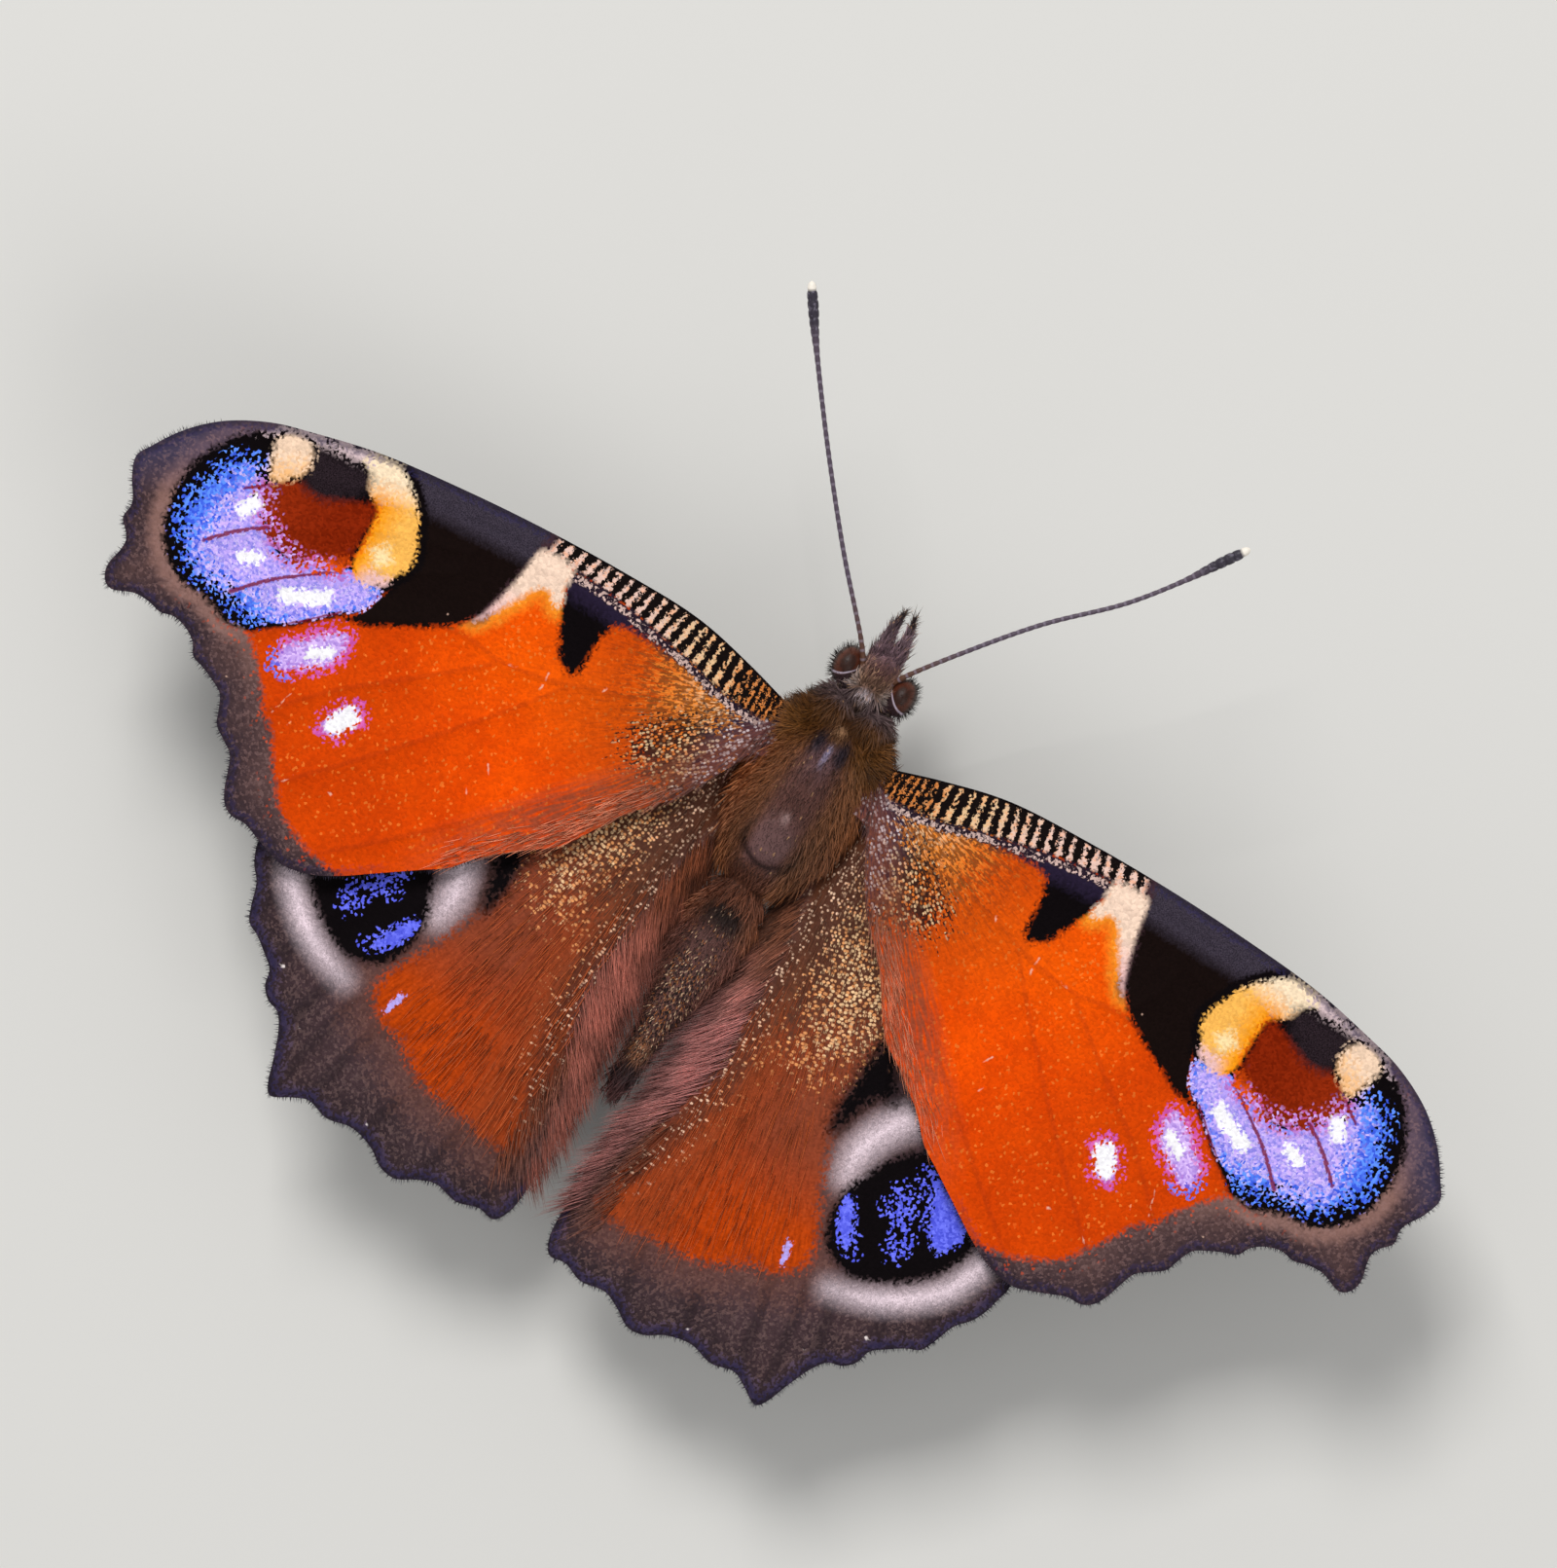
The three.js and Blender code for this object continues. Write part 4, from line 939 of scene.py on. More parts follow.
WHITE_FLECKS = [((15.4, -21.9), (15.6, -22), 0.07), ((13.4, -23.9), (13.45, -23.9), 0.06),
                ((12, -21.55), (12.05, -21.7), 0.06), ((8.5, -25.8), (8.5, -25.9), 0.06)]

GREY_BROWN, ASH, COLD_WHITE = paint(76, 56, 59), paint(52, 40, 44), paint(244, 222, 230)
RUST, DEEP_RUST, WARM_BROWN = paint(204, 72, 6), paint(164, 56, 8), paint(122, 66, 40)
SPOT_BLUE, MAUVE, DARK_UMBER = paint(84, 92, 240), paint(136, 96, 92), paint(74, 46, 38)


def hindwing_fields(plan):
    points, _, rim_count = plan
    x, y = points.T
    nothing = np.zeros(len(x))
    creases = [from_line(points, smooth_line(line, LINE_STEP)) for line in CREASES]
    fields = {
        "plan": [x, y, nothing],
        "rays": [*rays_from(points, HINDWING_ROOT, 15).T, nothing],
        "rim": [from_line(points, points[:rim_count], closed=True), depth_in(points, RUST_FIELD),
                np.min(creases, axis=0)],
        "spot": [depth_in(points, BLACK_SPOT), deepest(points, BLUE_PATCHES), depth_in(points, BLACK_WEDGE)],
        "pale": [*(from_line(points, smooth_line(arc, LINE_STEP)) for arc in PALE_ARCS),
                 spot_depth(points, VIOLET_DASH)],
        "coat": [deepest(points, GOLD_FIELDS), depth_in(points, FOLD), spot_depth(points, WHITE_FLECKS)],
    }
    return {name: np.column_stack(parts) for name, parts in fields.items()}


def hindwing_finish():
    finish = Finish("hindwing_scales", roughness=0.75, specular=0.04)
    plan, rays = finish.vector("plan"), finish.vector("rays")
    x, y, _ = finish.fields("plan")
    out, _, _ = finish.fields("rays")
    rim, rust, crease = finish.fields("rim")
    spot, blue, wedge = finish.fields("spot")
    upper_arc, lower_arc, dash = finish.fields("pale")
    gold_area, fold, fleck = finish.fields("coat")
    ways = finish.stretched(rays, (0.2, 1.7, 1))
    tone, jitter, grain, streak, relief = scale_relief(finish, plan, ways)
    cloud = finish.noise(plan, 0.5, 3.0)
    dots, dot_share, dot_tone = finish.cells(finish.stretched(rays, (6.2, 4.2, 1)), 1.0)
    thread = finish.noise(finish.stretched(rays, (0.4, 3.0, 1)), 6.0, 2.0)

    # The border and the grey surround of the spot.
    upper = (1.3 - upper_arc).either(0).power(1.35) * (y + 17).over(0, 4) * 0.8
    lower = (1.1 - lower_arc).either(0).power(1.6) * (x - 12.6).over(0, 5)
    arc = upper.either(lower) * (0.8 + (grain - 0.5) * 0.9 + jitter * 0.2)
    colour = finish.layered(ASH, [
        ((rim + (cloud - 0.5) * 2.6).over(1.6, 2.6), GREY_BROWN),
        ((jitter + grain - 0.5).over(0.2, 0.4) * 0.4, paint(126, 100, 96)),
        ((0.26 - crease + (grain - 0.5) * 0.15).over(0, 0.24) * 0.5, paint(44, 34, 38)),
        ((rust + 1.3 + jitter).over(0, 1.6) * 0.4, paint(122, 74, 58)),
        (arc.both(0.95), COLD_WHITE),
    ])

    # The rust-red field, brown and sprinkled with gold towards the root.
    brown = (13.4 - out + (streak - 0.5) * 7 + jitter * 2).over(0, 5)
    red = finish.layered(DEEP_RUST, [
        (streak.over(0.5, 0.35), RUST),
        (brown * 0.9, WARM_BROWN),
        ((14.2 - out + (streak - 0.5) * 6 + (thread - 0.5) * 8 + jitter * 2).over(0, 3) * 0.88, DARK_UMBER),
        ((5.6 - x + (streak - 0.5) * 3).over(0, 2.4) * 0.5, WARM_BROWN),
        ((20.5 - out + (streak - 0.5) * 8).over(0, 5) * 0.42, paint(104, 66, 48)),
        ((x - 6.2).over(0, 1.6) * (-10.5 - y).over(0, 2) * (y + 18).over(0, 3) * 0.4, paint(96, 66, 54)),
    ])
    crowded = (2.4 - abs(x - 7.2) - abs(y + 9.0) * 0.8).over(0, 2.4) * 0.45 + (thread - 0.5) * 2.8
    beside_fold = (4.8 - x).over(0, 0.8) * (-8 - y).over(0, 1)
    gold_dot = (0.42 - beside_fold * 0.08 - dots).over(0, 0.14)
    gold_dot = gold_dot * (gold_area * 0.4 - 0.46 + crowded + (dot_share - 0.5) * 1.8).over(0, 0.4)
    gold_dot = gold_dot * (gold_area + 1.0).over(0, 0.6) * (0.62 + dot_tone * 0.6)
    pale_gold = finish.mix((dot_share - 0.7).over(0, 0.3) * 0.8, GOLD, paint(232, 144, 76))
    colour = finish.layered(colour, [
        ((rust + jitter * 0.6).over(0, 0.5), red),
        ((fold + (streak - 0.5) * 0.6).over(0, 0.5) * 0.85,
         finish.mix(streak.over(0.5, 0.4), paint(92, 60, 54), MAUVE)),
        ((gold_area + 0.25 + (thread - 0.5) * 1.6).over(0, 0.35) * (5.4 - x).over(0, 1) * 0.6, DARK_UMBER),
        (gold_dot, finish.mix((4.2 - x + jitter).over(0, 1), pale_gold, paint(250, 208, 176))),
    ])

    # The spot: soft-edged black, with blue scales in three patches that thin out into single ones.
    thin = (1.3 - abs(x + y * 0.15 - 11.2)).over(0, 0.6)
    outer_edge = (x - y - 19.5).over(0, 4)
    colour = finish.layered(colour, [
        ((wedge + 0.1 + jitter * 0.5).over(0, 0.7), SOOT),
        ((spot + 0.05 + jitter * 0.35).over(0, 0.35), SOOT),
        ((blue + jitter * (0.4 + thin * 1.2) - 0.1 - thin * 0.3).over(0, 0.06),
         finish.mix(tone, SPOT_BLUE, paint(116, 124, 252))),
        ((dash + jitter * 0.2).over(0, 0.06), paint(190, 170, 244)),
        ((0.3 - rim + jitter * 0.25).over(0, 0.2) * 0.7, paint(34, 30, 44)),
        ((0.42 - rim + (cloud - 0.5) * 0.5 + jitter * 0.6).over(0, 0.12)
         * (rim - 0.16 + jitter * 0.3).over(0, 0.1) * outer_edge * 0.3, RIM_BLUE),
        ((fleck + jitter * 0.04).over(0, 0.05) * 0.9, paint(240, 226, 222)),
    ])
    colour = finish.darken(colour, 0.78 + tone * 0.3 + grain * 0.2)
    return finish.done(colour, relief, depth=0.03)


hindwing_plan = wing_plan(HINDWING_EDGE, HINDWING_VEINS)
hindwing_marks = hindwing_fields(hindwing_plan)
wing_finishes = [hindwing_finish(), underside_finish("hindwing_underside")]
for side, place in HINDWING_SIDES:
    mesh = wing_mesh(f"hindwing_skin_{side}", hindwing_plan, HINDWING_VEINS, hindwing_height, HINDWING_LIFT,
                     place, hindwing_marks)
    add_piece(f"hindwing_skin_{side}", mesh, wing_finishes, "hindwing_scales", f"hindwing_{side}")


# Trunk: palps, head, thorax and abdomen under one skin, parted only by the neck and the waist. Its coat is
# short and velvety over the middle of the thorax, shaggy at the shoulders and thin on the ringed abdomen.
COAT_DEPTH = {"thorax": 0.42, "head": 0.28, "abdomen": 0.25, "palp": 0.1}
SKIN_STEP = 0.13
THORAX = {"front": 1.9, "rear": -8.1, "wide": 2.95, "high": 2.7, "z": 8.05, "bluntness": 0.62}
ABDOMEN = {"front": -7.0, "rear": -18.9, "wide": 1.78, "high": 1.72, "bluntness": 0.55}
ABDOMEN_MIDDLE_Z = (7.75, 6.3)
ABDOMEN_RINGS = 7
HEAD = {"middle": (0, 2.75, 8.35), "radii": (1.36, 1.55, 1.4)}
PALPS = [
    [(0.3, 3.2, 7.6, 0.4), (0.28, 4.4, 7.65, 0.42), (0.24, 5.4, 8.2, 0.31), (0.02, 6.5, 8.95, 0.16)],
    [(-0.5, 3.2, 7.6, 0.4), (-0.48, 4.4, 7.65, 0.42), (-0.52, 5.4, 8.2, 0.31), (-0.46, 6.5, 8.95, 0.16)],
]
COLLAR = {"middle": (1.0, 1.05, 8.6), "radii": (1.0, 0.8, 1.0)}
LAPPET = {"middle": (1.98, -0.25, 8.95), "radii": (0.66, 1.15, 0.62)}
PALP_ROOT_Y = 4.02
SCUTELLUM = {"y": -5.55, "radius": 1.35, "rise": 0.34}
SHOULDER = {"x": 1.75, "y": -0.7, "radius": 1.5, "rise": 0.25}
EYE = {"middle": (1.43, 3.08, 8.46), "radii": (0.65, 0.92, 1.02)}
BARE_ROUND_EYE = (0.78, 1.02, 1.12)


def thorax_section(y):
    slim = 1 - 0.3 * within(y, -2, THORAX["front"]) - 0.14 * within(-y, 2, -THORAX["rear"])
    return THORAX["wide"] * slim, THORAX["high"] * slim, THORAX["z"] + 0 * y


def abdomen_section(y):
    share = (ABDOMEN["front"] - y) / (ABDOMEN["front"] - ABDOMEN["rear"])
    groove = 0.05 * (0.5 + 0.5 * np.cos(2 * np.pi * ABDOMEN_RINGS * share)) ** 3
    slim = (1 - 0.5 * within(-y, 10.5, 17.4)) * (1 - groove)
    z = ABDOMEN_MIDDLE_Z[0] + (ABDOMEN_MIDDLE_Z[1] - ABDOMEN_MIDDLE_Z[0]) * share
    return ABDOMEN["wide"] * slim, ABDOMEN["high"] * slim, z


def thorax_plates(x, y):
    """The scutellum closes the back of the thorax like a round shield, and a plate swells over each wing."""
    away = np.hypot(x, y - SCUTELLUM["y"]) / SCUTELLUM["radius"]
    shield = SCUTELLUM["rise"] * within(1 - away, 0, 0.35)
    away = np.hypot(np.abs(x) - SHOULDER["x"], y - SHOULDER["y"]) / SHOULDER["radius"]
    return shield + SHOULDER["rise"] * np.maximum(0, 1 - away * away) - 0.05 * np.exp(-(x / 0.12) ** 2)


def lying_form(form, section, depth, relief=None, sides=72, rows=110):
    """A closed form along Y, less the depth of its coat: rings of points with a pole at each end."""
    along = np.linspace(0, 1, rows + 1)[:, None]
    turn = np.linspace(0, 2 * np.pi, sides, endpoint=False)[None, :]
    front, rear = form["front"] - depth, form["rear"] + depth
    y = front + (rear - front) * (1 - np.cos(np.pi * along)) / 2 + 0 * turn
    wide, high, z = section(y)
    opened = np.sin(np.pi * np.minimum(along, 1 - along)) ** form["bluntness"]
    x = np.cos(turn) * (wide - depth) * opened
    lifted = z + np.sin(turn) * (high - depth) * opened
    if relief is not None:
        lifted = lifted + relief(x, y) * (np.sin(turn) > 0)
    return closed_rings(np.stack([x, y, lifted], axis=2))


def closed_rings(rings):
    """Joins rings of points, one after another, into a surface with a point at each end."""
    rows, sides = rings.shape[:2]
    points = np.vstack([rings[0].mean(axis=0), rings[1:-1].reshape(-1, 3), rings[-1].mean(axis=0)])
    faces = []
    for row in range(rows - 3):
        for side in range(sides):
            a, b = 1 + row * sides + side, 1 + row * sides + (side + 1) % sides
            faces.append((a, b, b + sides, a + sides))
    last = len(points) - 1
    for side in range(sides):
        after = (side + 1) % sides
        faces.append((0, 1 + after, 1 + side))
        faces.append((last, last - sides + side, last - sides + after))
    return points, faces


def egg(middle, radii, sides=64, rows=40):
    along = np.linspace(0, np.pi, rows + 1)[:, None]
    turn = np.linspace(0, 2 * np.pi, sides, endpoint=False)[None, :]
    rings = np.stack([np.cos(turn) * np.sin(along) * radii[0], np.cos(along) * radii[1] + 0 * turn,
                      np.sin(turn) * np.sin(along) * radii[2]], axis=2)
    return closed_rings(rings + np.array(middle))


def tube(joints, depth, sides=20):
    """A round closed form along joints of (x, y, z, radius), less the depth of its coat."""
    line = smooth_line(joints, 0.1)
    way = np.gradient(line[:, :3], axis=0)
    way /= np.linalg.norm(way, axis=1)[:, None]
    across = np.cross(way, (0.1, 0, 1))
    across /= np.linalg.norm(across, axis=1)[:, None]
    up = np.cross(across, way)
    turn = np.linspace(0, 2 * np.pi, sides, endpoint=False)[None, :, None]
    ring = np.cos(turn) * across[:, None] + np.sin(turn) * up[:, None]
    rings = line[:, None, :3] + ring * (line[:, 3, None, None] - depth)
    return closed_rings(np.concatenate([rings[:1].mean(axis=1, keepdims=True) + 0 * rings[:1], rings,
                                        rings[-1:].mean(axis=1, keepdims=True) + 0 * rings[-1:]]))


def melted(name, forms, step, rounds):
    """Several closed forms turned into one even skin. Returns its points in millimetres and its faces."""
    points, faces, first = [], [], 0
    for form_points, form_faces in forms:
        points.append(form_points)
        faces += [tuple(corner + first for corner in face) for face in form_faces]
        first += len(form_points)
    mesh = bpy.data.meshes.new(name)
    mesh.from_pydata(np.vstack(points).tolist(), [], faces)
    rough = bpy.data.objects.new(name, mesh)
    bpy.context.collection.objects.link(rough)
    remesh = rough.modifiers.new("even", "REMESH")
    remesh.mode = "VOXEL"
    remesh.voxel_size = step
    smoother = rough.modifiers.new("smoother", "SMOOTH")
    smoother.iterations = rounds
    skin = bpy.data.meshes.new_from_object(rough.evaluated_get(bpy.context.evaluated_depsgraph_get()))
    places, normals = (numbers_of(skin.vertices, field, 3) for field in ("co", "normal"))
    faces = [tuple(face.vertices) for face in skin.polygons]
    for data in (rough, mesh, skin):
        (bpy.data.objects if data is rough else bpy.data.meshes).remove(data)
    return places, normals, faces


def unbroken(turn, starts, counts):
    """Ways round a form, 0 to 1 at each corner, with no face torn across the seam."""
    torn = np.repeat(np.maximum.reduceat(turn, starts) - np.minimum.reduceat(turn, starts) > 0.5, counts)
    return np.where(torn & (turn < 0.5), turn + 1, turn)


def unwrap_round(mesh, middle):
    """The baking map of a form that lies along Y: the way round it across, the way along it up.

    For any places, middle gives the X and Z to turn round, and the start and breadth of a band of the map.
    """
    corners = numbers_of(mesh.loops, "vertex_index", kind=int)
    starts, counts = (numbers_of(mesh.polygons, field, kind=int) for field in ("loop_start", "loop_total"))
    middles = np.repeat(in_body(numbers_of(mesh.polygons, "center", 3)), counts, axis=0)
    x, y, z = in_body(numbers_of(mesh.vertices, "co", 3))[corners].T
    middle_x, middle_z, band, breadth = middle(middles)
    turn = unbroken(np.arctan2(x - middle_x, middle_z - z) / (2 * np.pi) + 0.5, starts, counts)
    along = (y - y.min()) / (y.max() - y.min())
    write_map(mesh, np.column_stack([band + turn * breadth, 0.01 + along * 0.98]))


# Where the coat of the trunk changes: |X| and Y of a patch, its reach each way, its colour, how long its
# hair is, and how far it stands off the skin.
TRUNK_PATCHES = [
    (0.25, 6.2, 0.5, 0.4, (48, 38, 44), 0.4, 0.08), (0.75, 5.4, 0.2, 0.5, (78, 60, 64), 0.6, 0.45),
    (0.2, 5.0, 0.5, 0.6, (156, 128, 136), 0.55, 0.25), (0.2, 4.2, 0.9, 0.5, (150, 120, 128), 0.6, 0.45),
    (0.2, 3.4, 0.6, 0.5, (112, 74, 70), 0.55, 0.6), (0.8, 3.2, 0.2, 0.3, (176, 136, 118), 0.5, 0.5),
    (0.3, 2.8, 0.5, 0.25, (140, 106, 84), 0.5, 0.8), (0.88, 2.6, 0.2, 0.24, (255, 236, 226), 0.5, 0.7),
    (0, 2.6, 0.3, 0.12, (82, 52, 40), 0.4, 0.6),
    (0.05, 2.36, 0.2, 0.12, (222, 204, 208), 0.35, 0.5), (1.0, 2.1, 0.4, 0.3, (92, 70, 74), 1.0, 0.4),
    (0, 1.8, 0.35, 0.25, (84, 60, 40), 0.6, 0.6),
    (0.7, 1.75, 0.7, 0.3, (112, 92, 92), 0.6, 0.6), (1.6, 1.7, 0.3, 0.3, (98, 74, 70), 0.6, 0.7),
    (0.7, 1.0, 0.6, 0.35, (100, 62, 30), 0.7, 0.6), (2.0, 1.3, 0.2, 0.35, (62, 42, 26), 0.55, 0.6),
    (0.1, 0.45, 0.1, 0.2, (180, 136, 100), 0.5, 0.5), (0, 0, 0.3, 0.3, (110, 72, 44), 0.5, 0.4),
    (1.3, 0.4, 0.5, 0.6, (114, 70, 28), 0.8, 0.6),
    (2.4, 0.7, 0.2, 0.4, (46, 34, 28), 0.5, 0.6), (2.7, 0.1, 0.2, 0.4, (52, 44, 46), 0.6, 0.7),
    (1.9, -0.4, 0.5, 0.7, (114, 71, 24), 0.9, 0.6), (2.8, -1.2, 0.35, 0.8, (140, 88, 58), 1.2, 0.7),
    (0.55, -0.5, 0.2, 0.5, (40, 34, 46), 0.5, 0.4), (0.05, -1.0, 0.06, 0.4, (150, 140, 168), 0.25, 0.1),
    (0.3, -1.4, 0.2, 0.8, (104, 72, 74), 0.35, 0.15), (0.4, -3.0, 0.8, 1.3, (102, 64, 56), 0.42, 0.16),
    (1.7, -2.6, 0.5, 1.6, (152, 96, 58), 0.8, 0.35), (2.7, -3.0, 0.5, 1.8, (176, 104, 58), 1.5, 0.6),
    (1.5, -5.2, 0.4, 1.2, (138, 90, 60), 0.8, 0.3), (2.4, -4.8, 0.5, 1.2, (150, 96, 66), 1.6, 0.5),
    (0, -5.4, 0.95, 0.9, (112, 80, 78), 0.16, 0.05), (0, -4.3, 0.15, 0.25, (176, 144, 140), 0.2, 0.1),
    (0, -7.4, 1.0, 0.4, (106, 62, 44), 0.6, 0.35), (2.3, -6.6, 0.7, 0.9, (148, 88, 48), 1.6, 0.5),
    (0.8, -8.1, 0.9, 0.4, (128, 76, 54), 1.0, 0.45), (0, -9.3, 0.8, 0.5, (48, 32, 27), 0.6, 0.4),
    (1.6, -8.9, 0.5, 0.9, (176, 108, 74), 1.1, 0.5), (0.3, -11.4, 0.6, 1.2, (104, 68, 62), 0.3, 0.25),
    (1.3, -11.8, 0.35, 1.6, (132, 82, 68), 0.8, 0.4), (0.3, -14.0, 0.7, 1.4, (112, 74, 66), 0.3, 0.3),
    (1.2, -13.9, 0.3, 0.6, (132, 86, 70), 0.9, 0.4), (1.0, -15.8, 0.35, 0.8, (64, 42, 40), 1.0, 0.45),
    (0, -16.5, 0.35, 0.4, (176, 118, 84), 0.4, 0.3),
    (0.7, -17.2, 0.8, 0.7, (58, 40, 43), 1.0, 0.4), (0, -18.6, 1.0, 0.8, (96, 60, 58), 1.1, 0.35),
]
BELLY_COLOUR = (96, 74, 58)


def patched(x, y):
    """Colour, hair length and stand of the coat at each place, drawn from the patches by nearness."""
    total = np.full(len(x), 1e-9)
    mixed = np.zeros((len(x), 5))
    for patch_x, patch_y, reach_x, reach_y, colour, length, stand in TRUNK_PATCHES:
        away = ((np.abs(x) - patch_x) / reach_x) ** 2 + ((y - patch_y) / reach_y) ** 2
        weight = np.exp(-away) + 1e-4 / (1 + away)
        total += weight
        mixed += weight[:, None] * np.array((*raw(colour), length, stand))
    mixed /= total[:, None]
    return mixed[:, :3], mixed[:, 3], mixed[:, 4]


def trunk_middle(places):
    """The trunk's middle line, and a band of the map for the trunk and for each palp."""
    x, y, _ = places.T
    palp = y > PALP_ROOT_Y
    side = x > -0.09
    behind = np.where(y > -7.5, THORAX["z"], np.minimum(THORAX["z"], abdomen_section(y)[2]))
    palp_z = np.interp(y, [3.2, 4.4, 5.5, 6.3], [7.6, 7.65, 8.2, 8.85])
    return (np.where(palp, np.where(side, 0.4, -0.6), 0), np.where(palp, palp_z, behind),
            np.where(palp, np.where(side, 0.8, 0.89), 0.01), np.where(palp, 0.08, 0.76))


trunk_points, trunk_normals, trunk_faces = melted("trunk_rough", [
    lying_form(THORAX, thorax_section, COAT_DEPTH["thorax"], thorax_plates),
    lying_form(ABDOMEN, abdomen_section, COAT_DEPTH["abdomen"]),
    egg(HEAD["middle"], [radius - COAT_DEPTH["head"] for radius in HEAD["radii"]]),
    *(tube(palp, COAT_DEPTH["palp"]) for palp in PALPS),
    *(egg(np.array(lobe["middle"]) * (side, 1, 1), lobe["radii"])
      for lobe in (COLLAR, LAPPET) for side in (-1, 1)),
], SKIN_STEP, 3)


def coat_fields(points, normals):
    """The trunk's coat: colour, length and lie of the hair. It is combed back and a little outward."""
    x, y, _ = points.T
    colour, length, stand = patched(x, y)
    below = within(-normals[:, 2], 0.1, 0.7)[:, None]
    colour = colour * (1 - below) + raw(BELLY_COLOUR) * below
    length = length * (1 - below[:, 0]) + 0.8 * below[:, 0]
    tufts = np.sin(x * 11 + y * 6 + 1) * np.sin(y * 10 - x * 5) * within(y, 1.5, 2.2)
    colour = colour * (1 + 0.4 * tufts[:, None])
    # Painted shade: the coat is darkened in a thin line along the rear rim of the scutellum, at its step.
    from_rim = np.hypot(x - 0.05, y - SCUTELLUM["y"] - 0.15) - 1.28
    painted_rim_shade = np.exp(-(from_rim / 0.09) ** 2) * within(-y, 4.6, 5.6)
    colour = colour * (1 - 0.75 * painted_rim_shade[:, None])
    # Painted light: behind the wing roots, the thorax coat is painted lighter on the left side and darker on
    # the right.
    lit = 0.12 * np.clip(x, -2.2, 2.2) * within(-y, -0.6, 0.6) * (1 - within(-y, 6, 7.5))
    colour = colour * (1 - lit[:, None])
    out, tail = np.abs(x), within(-y, 12.5, 14)
    aside = np.sign(x) * (within(out, 0.3, 1.6) + 1.2 * within(out, 0.3, 0.9) * tail)
    shoulder = within(out, 1.3, 1.9) * within(y, -0.9, -0.2) * (1 - within(y, 1.5, 2.0))
    flank = within(out, 1.4, 2.4) * within(y, -8, -6.5) * within(-y, -1, 0.5)
    outward = aside * (0.3 + 0.9 * shoulder + 0.5 * flank + 0.5 * tail)
    lie = np.column_stack([outward, -1 + 1.2 * shoulder, -0.1 + 0 * x])
    ruff = (within(out, 0.4, 0.8) * within(y, 1.5, 1.8) * (1 - within(y, 2.4, 2.8)))[:, None]
    face = within(y, 2.2, 2.9)[:, None]
    inward = 0.15 * within(y, 5.2, 5.8) * np.sign(x + 0.12)
    lie = lie * (1 - face) + np.column_stack([0.2 * x - inward, 1 + 0 * x, 0.2 + 0 * x]) * face
    lie = lie * (1 - ruff) + np.column_stack([1.5 * np.sign(x), 0 * x, 0.1 + 0 * x]) * ruff
    lie = lie - normals * np.sum(lie * normals, axis=1)[:, None]
    lie /= np.linalg.norm(lie, axis=1)[:, None] + 1e-6
    eyes = np.min([np.linalg.norm((points - np.array(EYE["middle"]) * (side, 1, 1)) / BARE_ROUND_EYE, axis=1)
                   for side in (-1, 1)], axis=0)
    sparse = 1 - 0.6 * np.exp(-(x / 0.9) ** 4) * within(-y, 10, 12) * (1 - within(-y, 16, 17))
    return {"coat": colour, "hair": length, "lie": lie + normals * stand[:, None],
            "thick": np.maximum(within(eyes, 0.8, 1.0), ruff[:, 0]) * sparse,
            "fleck": 0.2 * np.exp(-((y - 2.9) / 0.7) ** 2) + 0.1 * within(y, 3.9, 4.4)}


BLADE = {"taper": 0.92, "bluntness": 1.6, "flatness": 0.05, "longest": 1.15, "map_patch": 0.003}
HAIR_INPUTS = {
    "Strands": ("NodeSocketFloat", 60.0), "Breadth": ("NodeSocketFloat", 0.05),
    "Spread": ("NodeSocketFloat", 0.3), "Curl": ("NodeSocketFloat", 0.25),
    "Shortest": ("NodeSocketFloat", 0.6), "Joints": ("NodeSocketInt", 2), "Seed": ("NodeSocketInt", 1),
    "Finish": ("NodeSocketMaterial", None),
}


class Growth(Nodes):
    """A Geometry Nodes tree with named inputs."""

    def __init__(self, name, inputs):
        self.tree = bpy.data.node_groups.new(name, "GeometryNodeTree")
        self.tree.interface.new_socket("Geometry", in_out="INPUT", socket_type="NodeSocketGeometry")
        self.tree.interface.new_socket("Geometry", in_out="OUTPUT", socket_type="NodeSocketGeometry")
        for label, (kind, default) in inputs.items():
            socket = self.tree.interface.new_socket(label, in_out="INPUT", socket_type=kind)
            if default is not None:
                socket.default_value = default
        self.given = {output.name: Value(self, output) for output in self.node("NodeGroupInput").outputs}

    def read(self, name, kind="FLOAT"):
        return self.value("GeometryNodeInputNamedAttribute", 0, {"data_type": kind}, {"Name": name})

    def joined(self, x=0.0, y=0.0, z=0.0):
        """A vector of three numbers."""
        return self.value("ShaderNodeCombineXYZ", sockets={0: x, 1: y, 2: z})

    def chance(self, kind, low, high, seed):
        """A random number, or a random vector, for each point."""
        first, output = {"FLOAT_VECTOR": (0, 0), "FLOAT": (2, 1)}[kind]
        return self.value("FunctionNodeRandomValue", output, {"data_type": kind},
                          {first: low, first + 1: high, "Seed": seed})

    def store(self, geometry, name, kind, domain, value):
        return self.value("GeometryNodeStoreNamedAttribute", 0, {"data_type": kind, "domain": domain},
                          {"Geometry": geometry, "Name": name, "Value": value})

    def finish(self, geometry):
        """Gives what has grown its material and hands it out."""
        sockets = {"Geometry": geometry, "Material": self.given["Finish"]}
        self.node("NodeGroupOutput", sockets={0: self.value("GeometryNodeSetMaterial", sockets=sockets)})
        return self.tree


